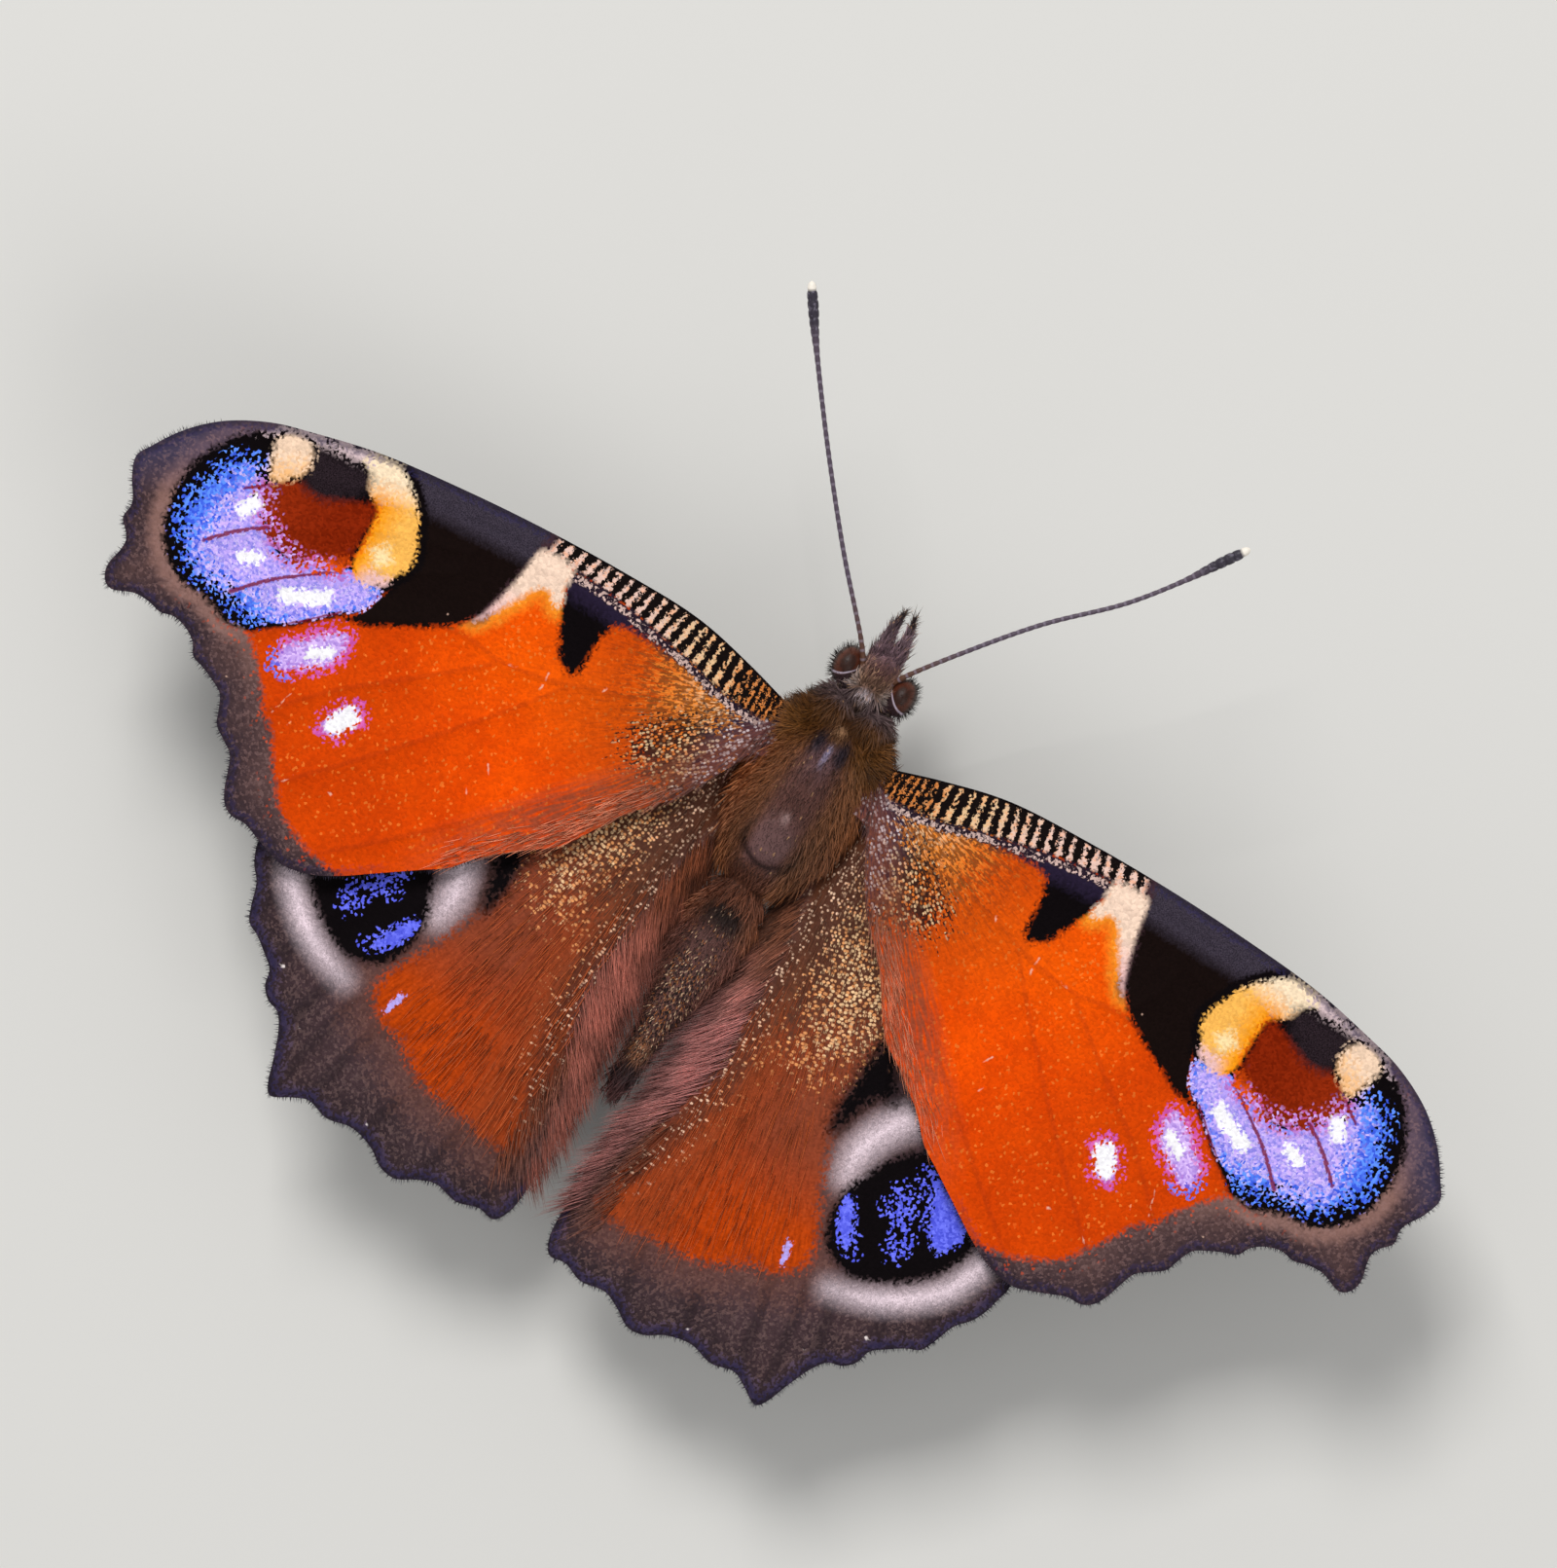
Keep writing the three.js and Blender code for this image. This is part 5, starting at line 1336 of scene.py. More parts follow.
def hair_tree():
    """Strands over a surface: each is a thin three-sided blade rooted in the skin, bent over to its lie."""
    growth = Growth("hair", HAIR_INPUTS)
    given = growth.given
    scatter = growth.node("GeometryNodeDistributePointsOnFaces", {"distribute_method": "RANDOM"}, {
        "Mesh": given["Geometry"], "Density": growth.read("thick") * given["Strands"] * (1 / MM ** 2),
        "Seed": given["Seed"]})
    points = growth.store(scatter.outputs["Points"], "root", "FLOAT_VECTOR", "POINT",
                          growth.read("OFBake", "FLOAT_VECTOR"))
    tone = growth.chance("FLOAT", 0.0, 1.0, given["Seed"] + 11)
    points = growth.store(points, "tone", "FLOAT", "POINT", tone)

    # One blade, a metre long before it is scaled: breadth across X, tapering to its tip, curling towards -Y.
    line = growth.value("GeometryNodeCurvePrimitiveLine", sockets={"Start": (0, 0, 0), "End": (0, 0, 1)})
    line = growth.value("GeometryNodeResampleCurve", 0, {"mode": "COUNT"},
                        {"Curve": line, "Count": given["Joints"] + 1})
    along = growth.value("GeometryNodeSplineParameter", "Factor")
    shift = growth.joined(y=along.power(2.0) * (given["Curl"] * -1.0))
    line = growth.value("GeometryNodeSetPosition", sockets={"Geometry": line, "Offset": shift})
    profile = growth.value("GeometryNodeCurvePrimitiveCircle", 0, {"mode": "RADIUS"},
                           {"Resolution": 3, "Radius": 0.5})
    blade = growth.value("GeometryNodeCurveToMesh", sockets={
        "Curve": line, "Profile Curve": profile, "Fill Caps": True,
        "Scale": 1.0 - along.power(BLADE["bluntness"]) * BLADE["taper"]})
    across, back, up = growth.parts(growth.value("GeometryNodeInputPosition"))
    blade = growth.store(blade, "along", "FLOAT", "POINT", up)
    blade = growth.store(blade, "side", "FLOAT", "POINT", across)
    curl = up * up * given["Curl"]
    flat = growth.joined(across, (back + curl) * BLADE["flatness"] - curl, up)
    blade = growth.value("GeometryNodeSetPosition", sockets={"Geometry": blade, "Position": flat})

    # Its lie, its length and its breadth.
    wander = growth.chance("FLOAT_VECTOR", (-1, -1, -1), (1, 1, 1), given["Seed"] + 23)
    wander = growth.vectors("SCALE", wander, given["Spread"])
    lie = growth.vectors("ADD", growth.read("lie", "FLOAT_VECTOR"), wander)
    upright = growth.value("FunctionNodeAlignRotationToVector", 0, {"axis": "Z"}, {"Vector": lie})
    turned = growth.value("FunctionNodeAlignRotationToVector", 0, {"axis": "Y", "pivot_axis": "Z"},
                          {"Rotation": upright, "Vector": scatter.outputs["Normal"]})
    length = growth.chance("FLOAT", given["Shortest"], BLADE["longest"], given["Seed"] + 37)
    length = growth.read("hair") * length * MM
    grown = growth.value("GeometryNodeInstanceOnPoints", sockets={
        "Points": points, "Instance": blade, "Rotation": turned,
        "Scale": growth.joined(given["Breadth"] * MM, length, length)})
    grown = growth.value("GeometryNodeRealizeInstances", sockets={"Geometry": grown})
    patch = growth.vectors("SCALE", growth.joined(growth.read("side"), growth.read("along")),
                           BLADE["map_patch"])
    unwrapped = growth.vectors("ADD", growth.read("root", "FLOAT_VECTOR"), patch)
    return growth.finish(growth.store(grown, "OFBake", "FLOAT2", "CORNER", unwrapped))


def hair_finish(name, flecked=False):
    """Each strand is darker at its root and has a tone of its own. A share of them have pale tips."""
    finish = Finish(name, roughness=0.5, specular=0.3)
    tone, along = finish.field("tone"), finish.field("along")
    shade = 0.55 + along * 0.75 + (tone * 7.3).sine() * 0.4
    colour = finish.darken(finish.colour("coat"), shade)
    if flecked:
        share = (tone - 1 + finish.field("fleck")).over(0, 0.001)
        colour = finish.mix(share * along.over(0.72, 0.1), colour, paint(226, 176, 136))
    return finish.done(colour)


def grown_mesh(name, emitter, tree, inputs):
    """What a tree makes of a mesh or curve, as a plain mesh."""
    host = bpy.data.objects.new(name, emitter)
    bpy.context.collection.objects.link(host)
    grow = host.modifiers.new("growth", "NODES")
    grow.node_group = tree
    for item in tree.interface.items_tree:
        if item.item_type == "SOCKET" and item.in_out == "INPUT" and item.name in inputs:
            grow[item.identifier] = inputs[item.name]
    mesh = bpy.data.meshes.new_from_object(host.evaluated_get(bpy.context.evaluated_depsgraph_get()))
    bpy.data.objects.remove(host)
    return mesh


def grow_coat(name, emitter, finish, slot, **inputs):
    """Grows a coat of hair on a mesh that carries its colour, length, lie and thickness."""
    labels = {label.capitalize(): value for label, value in inputs.items()}
    mesh = grown_mesh(name, emitter, HAIR, {"Finish": finish, **labels})
    mesh.materials.clear()
    add_piece(name, mesh, [finish], slot)


HAIR = hair_tree()
trunk_mesh = new_mesh("trunk_skin", trunk_points, trunk_faces, coat_fields(trunk_points, trunk_normals))
unwrap_round(trunk_mesh, trunk_middle)


def trunk_finish():
    finish = Finish("trunk_skin", roughness=0.6, specular=0.2)
    place = finish.place((1, 0.35, 1))
    streak = finish.noise(place, 9.0, 2.0)
    specks, share, _ = finish.cells(place, 6.5, "3D")
    colour = finish.darken(finish.colour("coat"), 0.6 + streak * 0.55)
    colour = finish.mix((0.3 - specks).over(0, 0.1) * share.over(0.86, 0.05) * 0.7, colour,
                        paint(196, 150, 104))
    return finish.done(colour, streak, depth=0.03)


add_piece("trunk_skin", trunk_mesh, [trunk_finish()], "body_hair", "thorax", "abdomen", "head", "palp_right",
          "palp_left")
body_hair = hair_finish("body_hair")
flecked_hair = hair_finish("flecked_hair", flecked=True)


def part_of(points, normals, faces, keep):
    """The share of a skin that lies where keep says, as an emitter of hair."""
    kept = [face for face in faces if keep(points[list(face)].mean(axis=0))]
    used = np.unique(np.concatenate([np.array(face) for face in kept]))
    fresh = {int(old): new for new, old in enumerate(used)}
    return points[used], normals[used], [tuple(fresh[corner] for corner in face) for face in kept]


COAT_PARTS = {
    "palp_hair": (lambda place: place[1] > PALP_ROOT_Y, 260, 0.045, "dark_hair"),
    "head_hair": (lambda place: 1.7 < place[1] <= PALP_ROOT_Y, 230, 0.045, "dark_hair"),
    "thorax_hair_above": (lambda place: -8.4 < place[1] <= 1.7 and place[2] > 8.0, 190, 0.04, "body_hair"),
    "thorax_hair_below": (lambda place: -8.4 < place[1] <= 1.7 and place[2] <= 8.0, 80, 0.055, "body_hair"),
    "abdomen_hair": (lambda place: place[1] <= -8.4, 170, 0.04, "dark_hair"),
}
for seed, (name, (keep, strands, breadth, slot)) in enumerate(COAT_PARTS.items()):
    part_points, part_normals, part_faces = part_of(trunk_points, trunk_normals, trunk_faces, keep)
    emitter = new_mesh(name, part_points, part_faces, coat_fields(part_points, part_normals))
    unwrap_round(emitter, trunk_middle)
    grow_coat(name, emitter, body_hair if slot == "body_hair" else flecked_hair, slot, strands=float(strands),
              breadth=breadth, spread=0.42, curl=0.3, shortest=0.5, seed=seed + 1)


def abdomen_scale_finish():
    """Short flat scales: most are dark, and every third or so is gold or cream."""
    finish = Finish("abdomen_scales", roughness=0.45, specular=0.35)
    tone = finish.field("tone")
    bright = finish.mix((tone * 61).sine().over(0, 0.1), paint(176, 108, 62), paint(240, 198, 160))
    colour = finish.mix(tone.over(0.56, 0.01), paint(50, 34, 32), bright)
    return finish.done(finish.darken(colour, 0.7 + finish.field("along") * 0.5))


part_points, part_normals, part_faces = part_of(trunk_points, trunk_normals, trunk_faces, lambda place: (
    place[1] <= -8.6 and abs(place[0]) < 1.5 and place[2] > 6.5))
x, y, _ = part_points.T
fields = coat_fields(part_points, part_normals)
fields["thick"] = (1 - within(np.abs(x), 0.8, 1.35)) * (0.3 + 0.7 * within(-y, 10.5, 13))
fields["thick"] *= 1 - within(-y, 16.8, 17.3)
fields["hair"] = 0.17 + 0 * x
emitter = new_mesh("abdomen_scales", part_points, part_faces, fields)
unwrap_round(emitter, trunk_middle)
grow_coat("abdomen_scales", emitter, abdomen_scale_finish(), "dark_hair", strands=110.0, breadth=0.1,
          spread=0.4, curl=0.1, shortest=0.7, seed=7)


# Wing hair: long soft hair lies over the fold beside the abdomen, combed in and back, thinner hair over the
# rust field and the wing bases, and a fringe of short dark bristles stands along the outer edges.
def wing_top(skin, count):
    """Places of the upper face of a wing, in millimetres, and its normals."""
    places, normals = (numbers_of(skin.data.vertices, field, 3)[:count] for field in ("co", "normal"))
    return in_body(places), normals


def turned_by(place, points, ways):
    """Flat directions on the plan of a right wing, as they are once the wing is in its place."""
    step = 0.01
    return (place(points + ways * step) - place(points)) / step


def wing_hair(name, skin, plan, place, slot, thick, way, lift, length, colour, **growth):
    """Hair on the upper face of a wing. Its thickness, way, length and colour are given on the plan."""
    points, faces, _ = plan
    places, normals = wing_top(skin, len(points))
    way = way / np.linalg.norm(way, axis=1)[:, None]
    lie = np.column_stack([turned_by(place, points, way), np.zeros(len(points))]) + normals * lift
    faces = faces if place is straight else faces[:, ::-1]
    faces = faces[(thick[faces] > 0.01).any(axis=1)]
    used, faces = np.unique(faces, return_inverse=True)
    fields = {"thick": thick, "lie": lie, "hair": length, "coat": colour}
    fields = {key: field[used] for key, field in fields.items()}
    emitter = new_mesh(name, places[used], faces.reshape(-1, 3), fields)
    unwrap_flat(emitter, points[used], np.zeros(len(emitter.polygons), int))
    grow_coat(name, emitter, body_hair, slot, **growth)


def blended(start, end, share):
    """From one colour or way to another, point by point."""
    return np.asarray(start) * (1 - share[:, None]) + np.asarray(end) * share[:, None]


def uneven(x, y):
    """A slow wander about 0 that keeps hair from lying too evenly."""
    return 0.35 * np.sin(x * 5.1 + y * 1.7) + 0.25 * np.sin(x * 2.3 - y * 2.9)


skins = {piece.name: piece for piece in bpy.data.objects if "wing_skin" in piece.name}
points = hindwing_plan[0]
x, y = points.T
wander = uneven(x, y)
fold_thick = within(depth_in(points, FOLD), -0.1, 0.35) * within(-y, 5.5, 7.5) * within(x, 0.9, 1.1)
fold_way = blended((-0.35, -0.94), (-0.66, -0.75), within(-y, 9, 15))
fold_length = 1.2 + 0.4 * within(-y, 8, 15) + 0.2 * wander
fold_colour = blended(raw((156, 94, 64)), raw((200, 134, 128)), within(-y + wander, 8, 14))
# The fold hair's lightness carries a painted highlight along a band near x 3.25 and is darker towards the
# body. The wander varies it at random.
fold_tone_and_painted_light = (0.9 + 0.4 * wander + 0.35 * np.exp(-((x - 3.25) / 0.5) ** 2)) * (0.4 + 0.6 * within(
    x + 0.3 * wander + 0.9 * within(-y, 16.5, 19.5), 1.85, 2.75))
# The left fold's hair is painted darker and redder than the right: painted shade on that side.
fold_colour = {"right": fold_colour * fold_tone_and_painted_light[:, None],
               "left": fold_colour * fold_tone_and_painted_light[:, None] * raw((222, 198, 178))}
rays_way = (points - np.array(HINDWING_ROOT)) + np.array((-0.5, 0))
rust_thick = within(depth_in(points, RUST_FIELD), 0.2, 1.0) * (1 - within(x, 7, 11)) * within(x, 2.6, 3.4)
rust_length = 0.9 + 0.6 * within(-y, 8, 18) + 0.2 * wander
rust_colour = blended(raw((110, 68, 48)), raw((206, 98, 44)), within(np.linalg.norm(rays_way, axis=1), 9, 15))
tail_thick = within(1.1 - np.abs(x - 2.2), 0, 0.7) * within(-y, 16, 18.5) * (1 - within(-y, 22.5, 25))
for seed, (side, place) in enumerate(HINDWING_SIDES):
    skin = skins[f"hindwing_skin_{side}"]
    wing_hair(f"fold_hair_{side}", skin, hindwing_plan, place, "body_hair", fold_thick, fold_way, 0.22,
              fold_length, fold_colour[side], strands=150.0, breadth=0.035, spread=0.16, curl=0.12,
              shortest=0.6, joints=3, seed=31 + seed)
    wing_hair(f"rust_hair_{side}", skin, hindwing_plan, place, "hindwing_scales", rust_thick, rays_way, 0.16,
              rust_length, rust_colour, strands=11.0, breadth=0.026, spread=0.12, curl=0.1, shortest=0.5,
              seed=41 + seed)
    wing_hair(f"tail_hair_{side}", skin, hindwing_plan, place, "hindwing_scales", tail_thick,
              blended((-0.62, -0.78), (-0.35, -0.94), within(x, 1.6, 3)), 0.25, 1.5 + 0.2 * wander,
              blended(raw((132, 92, 84)), raw((150, 84, 56)), within(x, 1.8, 3)), strands=40.0, breadth=0.03,
              spread=0.16, curl=0.15, shortest=0.5, seed=51 + seed)

points = forewing_plan[0]
x, y = points.T
wander = uneven(x, y)
INNER_MARGIN = [
    (2.7, -0.9), (3.1, -2.3), (3.6, -3.6), (5.1, -5.7), (7, -7.5), (9, -9.9), (11, -11.5), (12.5, -12.7),
]
base_reach = 0.45 + 0.65 * within(x, 4.5, 7)
base_thick = within(base_reach - from_line(points, smooth_line(INNER_MARGIN, 0.2)), 0, 0.5)
base_thick *= within(x, 2.2, 2.6) * (0.35 + 0.65 * within(12.5 - x, 0, 6))
base_way = blended(blended((0.25, -0.97), (0.5, -0.87), within(x, 3.2, 5)), (0.72, -0.69), within(x, 5, 7))
base_length = 0.8 + 0.2 * within(x, 4, 6) + 0.25 * wander
base_colour = blended(raw((118, 80, 75)), raw((240, 150, 112)), within(x, 4, 8))
base_colour *= 0.9 + 0.5 * wander[:, None]
for seed, (side, place) in enumerate(FOREWING_SIDES):
    wing_hair(f"base_hair_{side}", skins[f"forewing_skin_{side}"], forewing_plan, place, "body_hair",
              base_thick, base_way, 0.2, base_length, base_colour, strands=70.0, breadth=0.035, spread=0.22,
              curl=0.15, shortest=0.5, seed=61 + seed)


def unwrap_wall(mesh, points):
    """Maps the wall round a wing by its plan."""
    corners = numbers_of(mesh.loops, "vertex_index", kind=int)
    write_map(mesh, (points[corners] - points.min(axis=0)) / np.ptp(points, axis=0).max() * 0.98 + 0.01)


def fringe(name, skin, plan, place, slot, thick, seed):
    """Short dark bristles along the edge of a wing, rooted in its wall."""
    points, _, rim_count = plan
    places = wing_top(skin, len(skin.data.vertices))[0]
    edge, flat = np.arange(rim_count), points[:rim_count]
    along = np.roll(flat, -1, axis=0) - np.roll(flat, 1, axis=0)
    outward = np.column_stack([along[:, 1], -along[:, 0]])
    outward *= np.sign(np.sum((flat - flat.mean(axis=0)) * outward, axis=1).sum())
    outward = turned_by(place, flat, outward / np.linalg.norm(outward, axis=1)[:, None])
    lie = np.column_stack([outward, np.full(rim_count, 0.05)])
    after = (edge + 1) % rim_count
    faces = np.column_stack([edge, after, after + rim_count, edge + rim_count])[thick > 0.01]
    wall = np.vstack([places[edge], places[edge + len(points)]])
    wall[:, :2] -= np.vstack([lie, lie])[:, :2] * 0.05
    wander = 0.5 + 0.5 * np.sin(flat[:, 0] * 9 + flat[:, 1] * 7)
    colour = blended(raw((24, 20, 27)), raw((46, 40, 60)), wander)
    fields = {"thick": thick, "lie": lie, "hair": 0.2 + 0.09 * wander, "coat": colour}
    fields = {key: np.concatenate([field, field]) for key, field in fields.items()}
    emitter = new_mesh(name, wall, faces, fields)
    unwrap_wall(emitter, np.vstack([flat, flat + 0.2]))
    grow_coat(name, emitter, body_hair, slot, strands=170.0, breadth=0.05, spread=0.3, curl=0.1,
              shortest=0.6, seed=seed)


rim = forewing_plan[0][:forewing_plan[2]]
x, y = rim.T
outer = within(x * 0.55 - y, 16.5, 19) + within(-y - 0.6 * x, -3, -1) * within(x, 9, 12)
for seed, (side, place) in enumerate(FOREWING_SIDES):
    fringe(f"forewing_fringe_{side}", skins[f"forewing_skin_{side}"], forewing_plan, place, "forewing_scales",
           np.clip(outer, 0, 1), 71 + seed)
rim = hindwing_plan[0][:hindwing_plan[2]]
outer = within(-rim[:, 1] + rim[:, 0] * 0.15, 17, 18.5)
for seed, (side, place) in enumerate(HINDWING_SIDES):
    fringe(f"hindwing_fringe_{side}", skins[f"hindwing_skin_{side}"], hindwing_plan, place, "hindwing_scales",
           outer, 81 + seed)


# Eyes: two large domes at the sides of the head, dark red-brown, glossy and finely faceted, with short dark
# bristles all over and a pale line of scales round their inner rear edge.
def behind_line(inner, front):
    """How far a place of the dome lies behind its pale line."""
    return inner * inner * 0.4 - front - inner * 0.4 - 0.58


def eye_finish():
    finish = Finish("eye", roughness=0.4, specular=0.25)
    finish.shader.inputs["Coat Weight"].default_value = 0.06
    finish.shader.inputs["Coat Roughness"].default_value = 0.2
    place = finish.vector("dome")
    inner, front, up = finish.fields("dome")
    middle, tone, _ = finish.cells(place, 17.0, "3D")
    # The lighter red-brown bands, set by height on the dome, are painted highlights.
    band = (up * 9 + finish.noise(place, 2.0, 2.0) * 3).sine()
    rear = behind_line(inner, front)
    colour = finish.layered(paint(50, 24, 14), [
        (band.over(0.3, 1.2), paint(84, 40, 24)),
        ((0.05 - abs(rear)).over(0, 0.04), paint(190, 174, 188)),
        (rear.over(0.08, 0.05), paint(62, 44, 46)),
    ])
    return finish.done(finish.darken(colour, 0.8 + tone * 0.4), 1 - middle, depth=0.012)


eye_look = eye_finish()
dome_points, dome_faces = egg((0, 0, 0), EYE["radii"])
for seed, (side, sign) in enumerate((("right", 1), ("left", -1))):
    middle = np.array(EYE["middle"]) * (sign, 1, 1)
    places = dome_points * (sign, 1, 1) + middle
    faces = dome_faces if sign > 0 else [face[::-1] for face in dome_faces]
    share = dome_points / EYE["radii"]
    mesh = new_mesh(f"eye_dome_{side}", places, faces, {"dome": share})
    add_piece(f"eye_dome_{side}", mesh, [eye_look], "eye", f"eye_{side}")
    lie = share * (sign, 1, 1) + np.array((0, 0.15, 0))
    behind = within(behind_line(share[:, 0], share[:, 1]), 0.06, 0.16)
    shown = 0.2 + 0.8 * within(np.linalg.norm(share[:, :2], axis=1), 0.75, 0.95)
    shown *= within(share[:, 0], -0.45, 0.1)
    fields = {"thick": np.maximum(shown, behind), "lie": lie, "hair": 0.3 + 0.15 * behind,
              "coat": blended(raw((34, 24, 20)), raw((80, 56, 60)), behind)}
    emitter = new_mesh(f"eye_hair_{side}", places, faces, fields)
    unwrap_round(emitter, lambda _: (middle[0], middle[2], 0.01, 0.9))
    grow_coat(f"eye_hair_{side}", emitter, body_hair, "dark_hair", strands=75.0, breadth=0.03, spread=0.25,
              curl=0.1, shortest=0.6, seed=91 + seed)


# Antennae: long thin shafts of about forty rings, swollen into a club with a cream tip. The tree that makes
# them also makes the feeding tube and the legs: a round stalk along a line, with grooves between its rings.
STALK_INPUTS = {
    "Rings": ("NodeSocketFloat", 0.0), "Notch": ("NodeSocketFloat", 0.15), "Steps": ("NodeSocketInt", 60),
    "Sides": ("NodeSocketInt", 12), "Finish": ("NodeSocketMaterial", None),
}


def stalk_tree():
    growth = Growth("stalk", STALK_INPUTS)
    given = growth.given
    line = growth.value("GeometryNodeMeshToCurve", sockets={"Mesh": given["Geometry"]})
    line = growth.value("GeometryNodeResampleCurve", 0, {"mode": "COUNT"},
                        {"Curve": line, "Count": given["Steps"]})
    along = growth.value("GeometryNodeSplineParameter", "Factor")
    line = growth.store(line, "along", "FLOAT", "POINT", along)
    line = growth.store(line, "lie", "FLOAT_VECTOR", "POINT", growth.value("GeometryNodeInputTangent"))
    turn = along * given["Rings"] * (2 * math.pi)
    groove = (turn.maths("COSINE", turn) * 0.5 + 0.5).power(5.0) * given["Notch"]
    profile = growth.value("GeometryNodeCurvePrimitiveCircle", 0, {"mode": "RADIUS"},
                           {"Resolution": given["Sides"], "Radius": MM})
    around = growth.value("GeometryNodeSplineParameter", "Factor")
    profile = growth.store(profile, "around", "FLOAT", "POINT", around)
    stalk = growth.value("GeometryNodeCurveToMesh", sockets={
        "Curve": line, "Profile Curve": profile, "Scale": growth.read("wide") * (1.0 - groove),
        "Fill Caps": True})
    return growth.finish(growth.value("GeometryNodeRealizeInstances", sockets={"Geometry": stalk}))


STALK = stalk_tree()


def stalk_mesh(name, lines, finish, colours=None, **inputs):
    """Round stalks along lines of (x, y, z, radius), with a colour each."""
    rows = [smooth_line(line, 0.04) for line in lines]
    points = np.vstack(rows)
    edges, first, shades = [], 0, []
    for row, colour in zip(rows, colours or [(128, 128, 128)] * len(rows)):
        edges += [(first + index, first + index + 1) for index in range(len(row) - 1)]
        shades += [raw(colour)] * len(row)
        first += len(row)
    guide = bpy.data.meshes.new(name)
    guide.from_pydata(in_row(points[:, :3]).tolist(), edges, [])
    guide.attributes.new("wide", "FLOAT", "POINT").data.foreach_set("value", points[:, 3].astype(np.float32))
    shades = np.array(shades, np.float32).ravel()
    guide.attributes.new("coat", "FLOAT_VECTOR", "POINT").data.foreach_set("vector", shades)
    labels = {label.capitalize(): value for label, value in inputs.items()}
    mesh = grown_mesh(name, guide, STALK, {"Finish": finish, **labels})
    mesh.materials.clear()
    mesh.polygons.foreach_set("use_smooth", [True] * len(mesh.polygons))
    return mesh


ANTENNA_RINGS = 42.0


def antenna_finish():
    finish = Finish("antenna", roughness=0.45, specular=0.35)
    place = finish.place()
    middle, tone, _ = finish.cells(place, 9.0, "3D")
    along = finish.field("along")
    ring = (along * (2 * math.pi * ANTENNA_RINGS)).sine()
    colour = finish.layered(paint(92, 58, 40), [
        ((along - 0.04).over(0.1, 0.2), paint(84, 70, 84)),
        (ring.over(0.62, 0.5) * 0.42, paint(160, 148, 164)),
        (along.over(0.87, 0.06), paint(52, 46, 58)),
        ((along - 0.87).over(0, 0.02) * (tone - 0.8).over(0, 0.1) * 0.5, paint(130, 122, 138)),
        (along.over(0.978, 0.008), paint(255, 246, 232)),
    ])
    return finish.done(colour, 1 - middle, depth=0.012)


ANTENNAE = {
    "right": [(0.7, 3.3, 8.9, 0.16), (1.15, 4.05, 9.3, 0.12), (2.7, 6.2, 9.8, 0.11), (5, 9.1, 10.5, 0.11),
              (7.7, 11.9, 11.2, 0.11), (9.3, 14.05, 11.72, 0.125), (9.9, 15.0, 11.97, 0.2),
              (10.4, 15.8, 12.17, 0.25), (10.8, 16.4, 12.33, 0.22), (10.98, 16.7, 12.4, 0.14),
              (11.03, 16.77, 12.42, 0.03)],
    "left": [(-0.7, 3.2, 8.9, 0.16), (-1.25, 4, 9.3, 0.12), (-4.3, 7.2, 10, 0.11), (-7.2, 10.5, 10.8, 0.11),
             (-9.1, 12.8, 11.4, 0.115), (-9.9, 13.8, 11.68, 0.13), (-10.6, 14.7, 11.92, 0.2),
             (-11.15, 15.45, 12.12, 0.25), (-11.6, 16.05, 12.28, 0.22), (-11.79, 16.33, 12.36, 0.14),
             (-11.84, 16.4, 12.38, 0.03)],
}
antenna_look = antenna_finish()
for side, line in ANTENNAE.items():
    mesh = stalk_mesh(f"antenna_stalk_{side}", [line], antenna_look, rings=ANTENNA_RINGS, notch=0.14,
                      steps=340)
    add_piece(f"antenna_stalk_{side}", mesh, [antenna_look], "feeler", f"antenna_{side}")


# Feeding tube: a long double tube, rolled up like a watch spring under the face.
COIL = {"middle": (-0.08, 4.25, 6.1), "radius": 1.05, "tube": 0.2, "pitch": 0.58, "turns": 1.3, "rings": 90.0}


def coil_line():
    turn = np.linspace(0, COIL["turns"] * 2 * np.pi, 60)
    radius = COIL["radius"] - COIL["pitch"] * turn / (2 * np.pi)
    angle = np.pi * 0.95 + turn
    x, y, z = COIL["middle"]
    line = np.column_stack([x + 0 * turn, y + radius * np.cos(angle), z + radius * np.sin(angle),
                            COIL["tube"] * (1 - 0.45 * turn / turn[-1])])
    return np.vstack([(x, 3.05, 7.25, COIL["tube"]), line, line[-1] + (0, 0.02, 0.02, 0.05 - line[-1, 3])])


def coil_finish():
    finish = Finish("feeding_tube", roughness=0.35, specular=0.45)
    along = finish.field("along")
    ring = (along * (2 * math.pi * COIL["rings"])).sine()
    colour = finish.mix(ring.over(0.4, 1.0), paint(54, 32, 22), paint(92, 58, 38))
    return finish.done(colour, ring, depth=0.01)


coil_look = coil_finish()
mesh = stalk_mesh("feeding_tube", [coil_line()], coil_look, rings=COIL["rings"], notch=0.08, steps=500)
add_piece("feeding_tube", mesh, [coil_look], "feeding_tube", "proboscis")


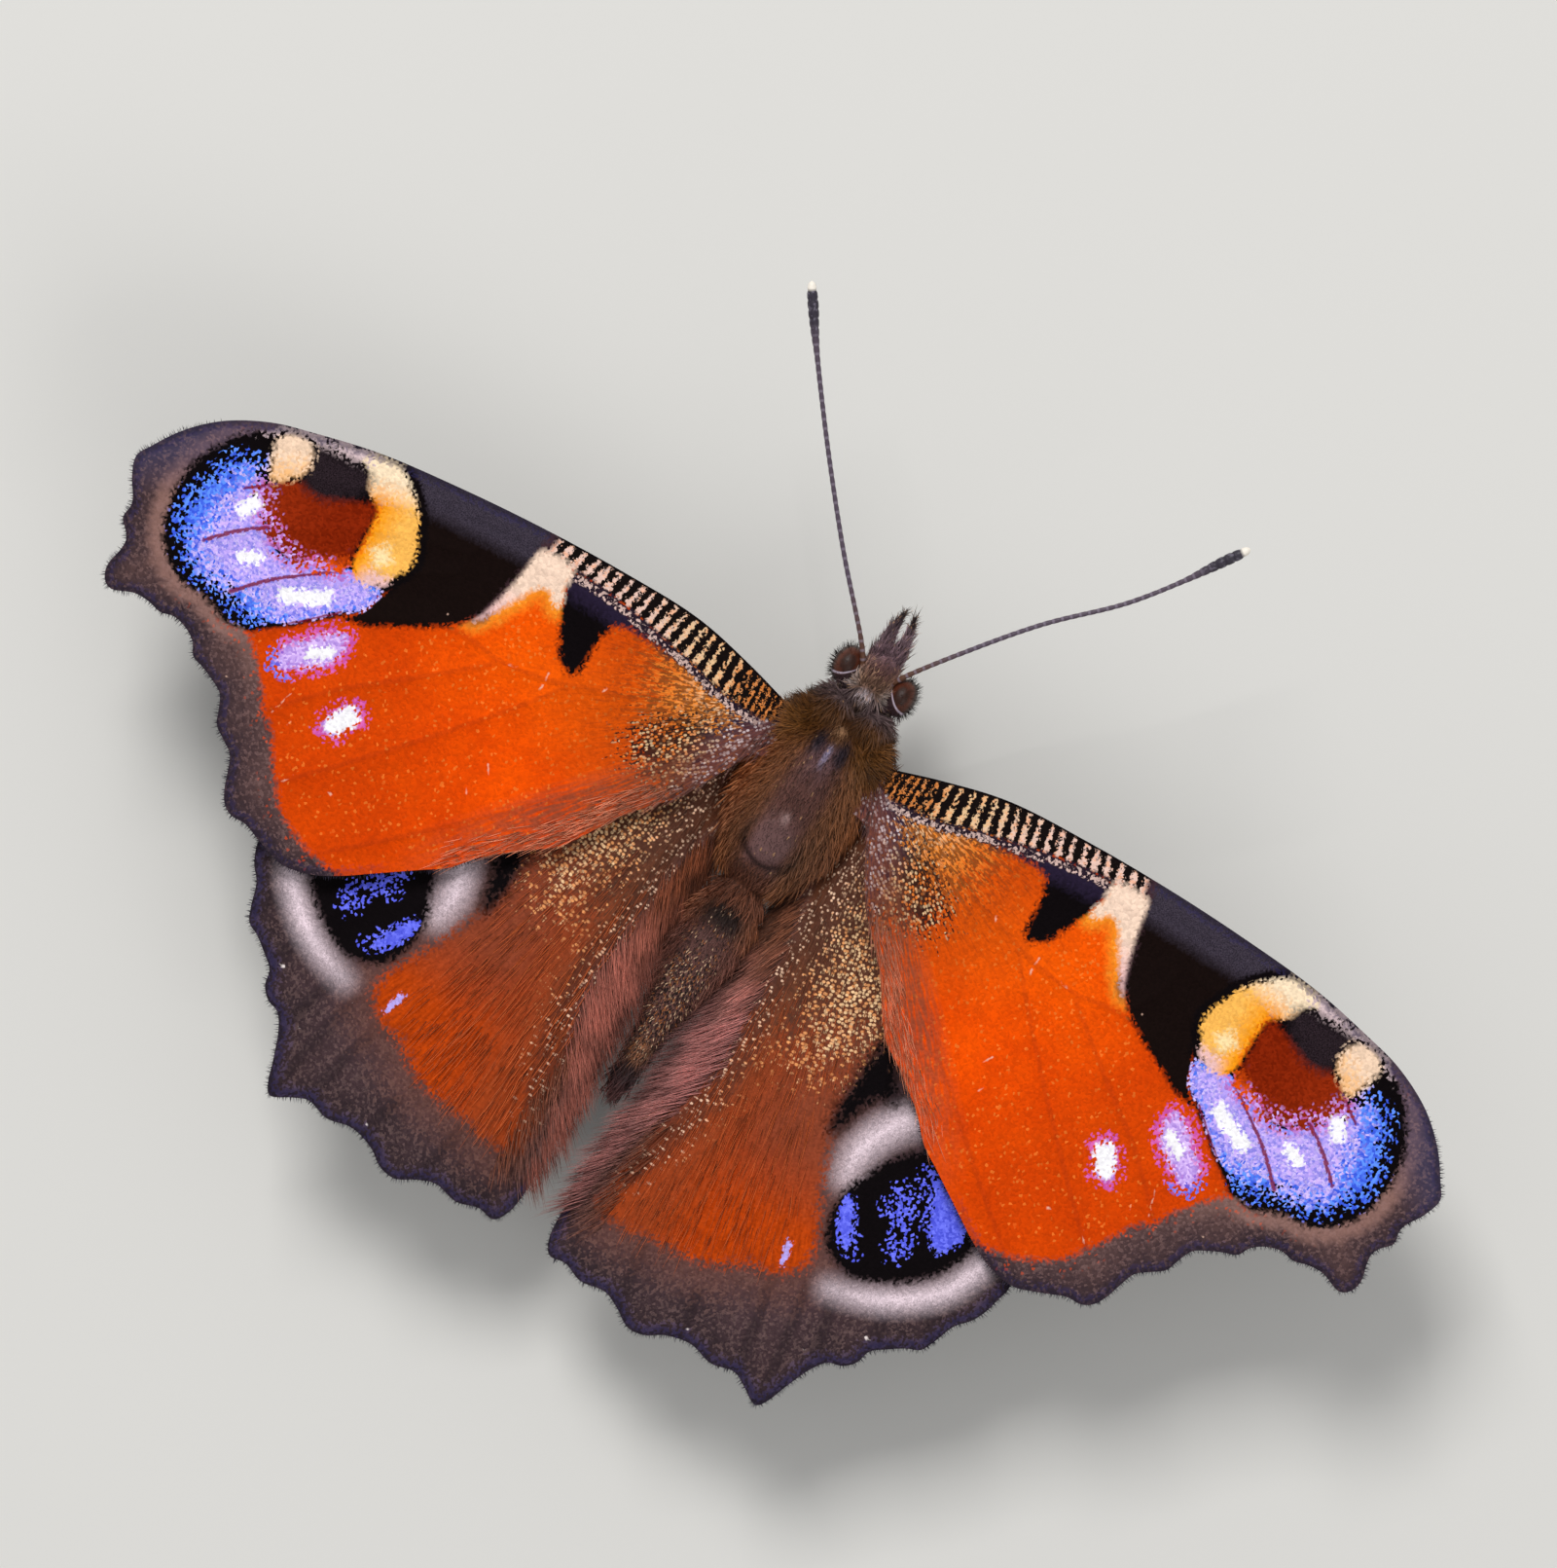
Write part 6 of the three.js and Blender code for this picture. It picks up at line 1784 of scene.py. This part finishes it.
# Legs: the butterfly stands on the middle and hind pairs, each with a hairy thigh and shin and a thin foot
# that ends in two claws. The front pair is short, brush-like and folded against the breast.
LEGS = {
    "foreleg": [(0.9, 0.6, 7, 0.34), (1.2, 2.1, 5.7, 0.32), (1.05, 1.3, 4.9, 0.26), (0.9, -0.4, 4.5, 0.2),
                (0.9, -0.5, 4.48, 0.03)],
    "midleg": [(1, -1.5, 6.8, 0.42), (2, -1.8, 5.1, 0.36), (3.4, -1.45, 5.5, 0.36), (5, -1.1, 6, 0.26),
               (5.5, -1, 5.7, 0.24), (6.2, -0.87, 3.6, 0.22), (7.1, -0.7, 0.8, 0.2), (7.5, -0.6, 0.24, 0.19),
               (8.6, -0.25, 0.19, 0.16), (9.75, 0.05, 0.19, 0.15), (9.85, 0.07, 0.19, 0.04)],
    "hindleg": [(1, -4.5, 6.8, 0.42), (1.9, -5.1, 5, 0.36), (3.1, -6.7, 5.5, 0.36), (4.4, -8.4, 6, 0.26),
                (4.8, -8.9, 5.7, 0.24), (5.5, -10.5, 3.4, 0.22), (6.2, -12.3, 0.8, 0.2),
                (6.4, -12.8, 0.24, 0.19), (7, -14.1, 0.19, 0.16), (7.68, -15.45, 0.19, 0.15),
                (7.72, -15.55, 0.19, 0.04)],
}
CLAW = [(0, 0, 0, 0.07), (0.1, 0.12, 0.03, 0.06), (0.14, 0.3, -0.04, 0.035), (0.13, 0.36, -0.12, 0.012)]


def leg_finish():
    finish = Finish("leg", roughness=0.5, specular=0.3)
    place = finish.place()
    middle, tone, share = finish.cells(place, 8.0, "3D")
    colour = finish.darken(finish.colour("coat"), 0.7 + tone * 0.5)
    colour = finish.mix((share - 0.86).over(0, 0.05) * 0.5, colour, paint(206, 180, 148))
    return finish.done(colour, 1 - middle, depth=0.02)


def claws_at(foot, heel):
    """Two hooked claws at the end of a foot."""
    x, y, z, _ = foot
    way = np.array(foot[:2]) - np.array(heel[:2])
    ahead, beside = way / np.linalg.norm(way)
    return [[(x + ahead * out + beside * across * sign, y + beside * out - ahead * across * sign, z + up,
              wide) for across, out, up, wide in CLAW] for sign in (-1, 1)]


def limb_coat(name, limb, length, **growth):
    """Hair on a leg, along it towards the foot: longest on the thigh, and none on the claws."""
    emitter = limb.copy()
    along, around, wide = (numbers_of(emitter.attributes[field].data, "value")
                           for field in ("along", "around", "wide"))
    lie = numbers_of(emitter.attributes["lie"].data, "vector", 3)
    lie = lie + 0.45 * numbers_of(emitter.vertices, "normal", 3)
    emitter.attributes["lie"].data.foreach_set("vector", lie.ravel())
    fields = {"thick": within(wide, 0.1, 0.14), "hair": length * (0.35 + within(wide, 0.2, 0.36))}
    for field, values in fields.items():
        emitter.attributes.new(field, "FLOAT", "POINT").data.foreach_set("value", values.astype(np.float32))
    corners = numbers_of(emitter.loops, "vertex_index", kind=int)
    starts, counts = (numbers_of(emitter.polygons, field, kind=int) for field in ("loop_start", "loop_total"))
    turn = unbroken(around[corners], starts, counts)
    write_map(emitter, np.column_stack([0.01 + turn * 0.45, 0.01 + along[corners] * 0.98]))
    grow_coat(name, emitter, body_hair, "leg", **growth)


leg_look = leg_finish()
for seed, (name, line) in enumerate(LEGS.items()):
    claws = [] if name == "foreleg" else claws_at(line[-2], line[-3])
    for side, sign in (("right", 1), ("left", -1)):
        lines = [np.array(row) * (sign, 1, 1, 1) for row in (line, *claws)]
        colours = [(112, 88, 70)] + [(52, 34, 24)] * len(claws)
        mesh = stalk_mesh(f"{name}_limb_{side}", lines, leg_look, colours, steps=90)
        add_piece(f"{name}_limb_{side}", mesh, [leg_look], "leg", f"{name}_{side}")
        limb_coat(f"{name}_hair_{side}", mesh, 0.8 if name == "foreleg" else 0.45, strands=32.0, breadth=0.04,
                  spread=0.3, curl=0.15, shortest=0.5, seed=101 + seed * 2 + (sign > 0))
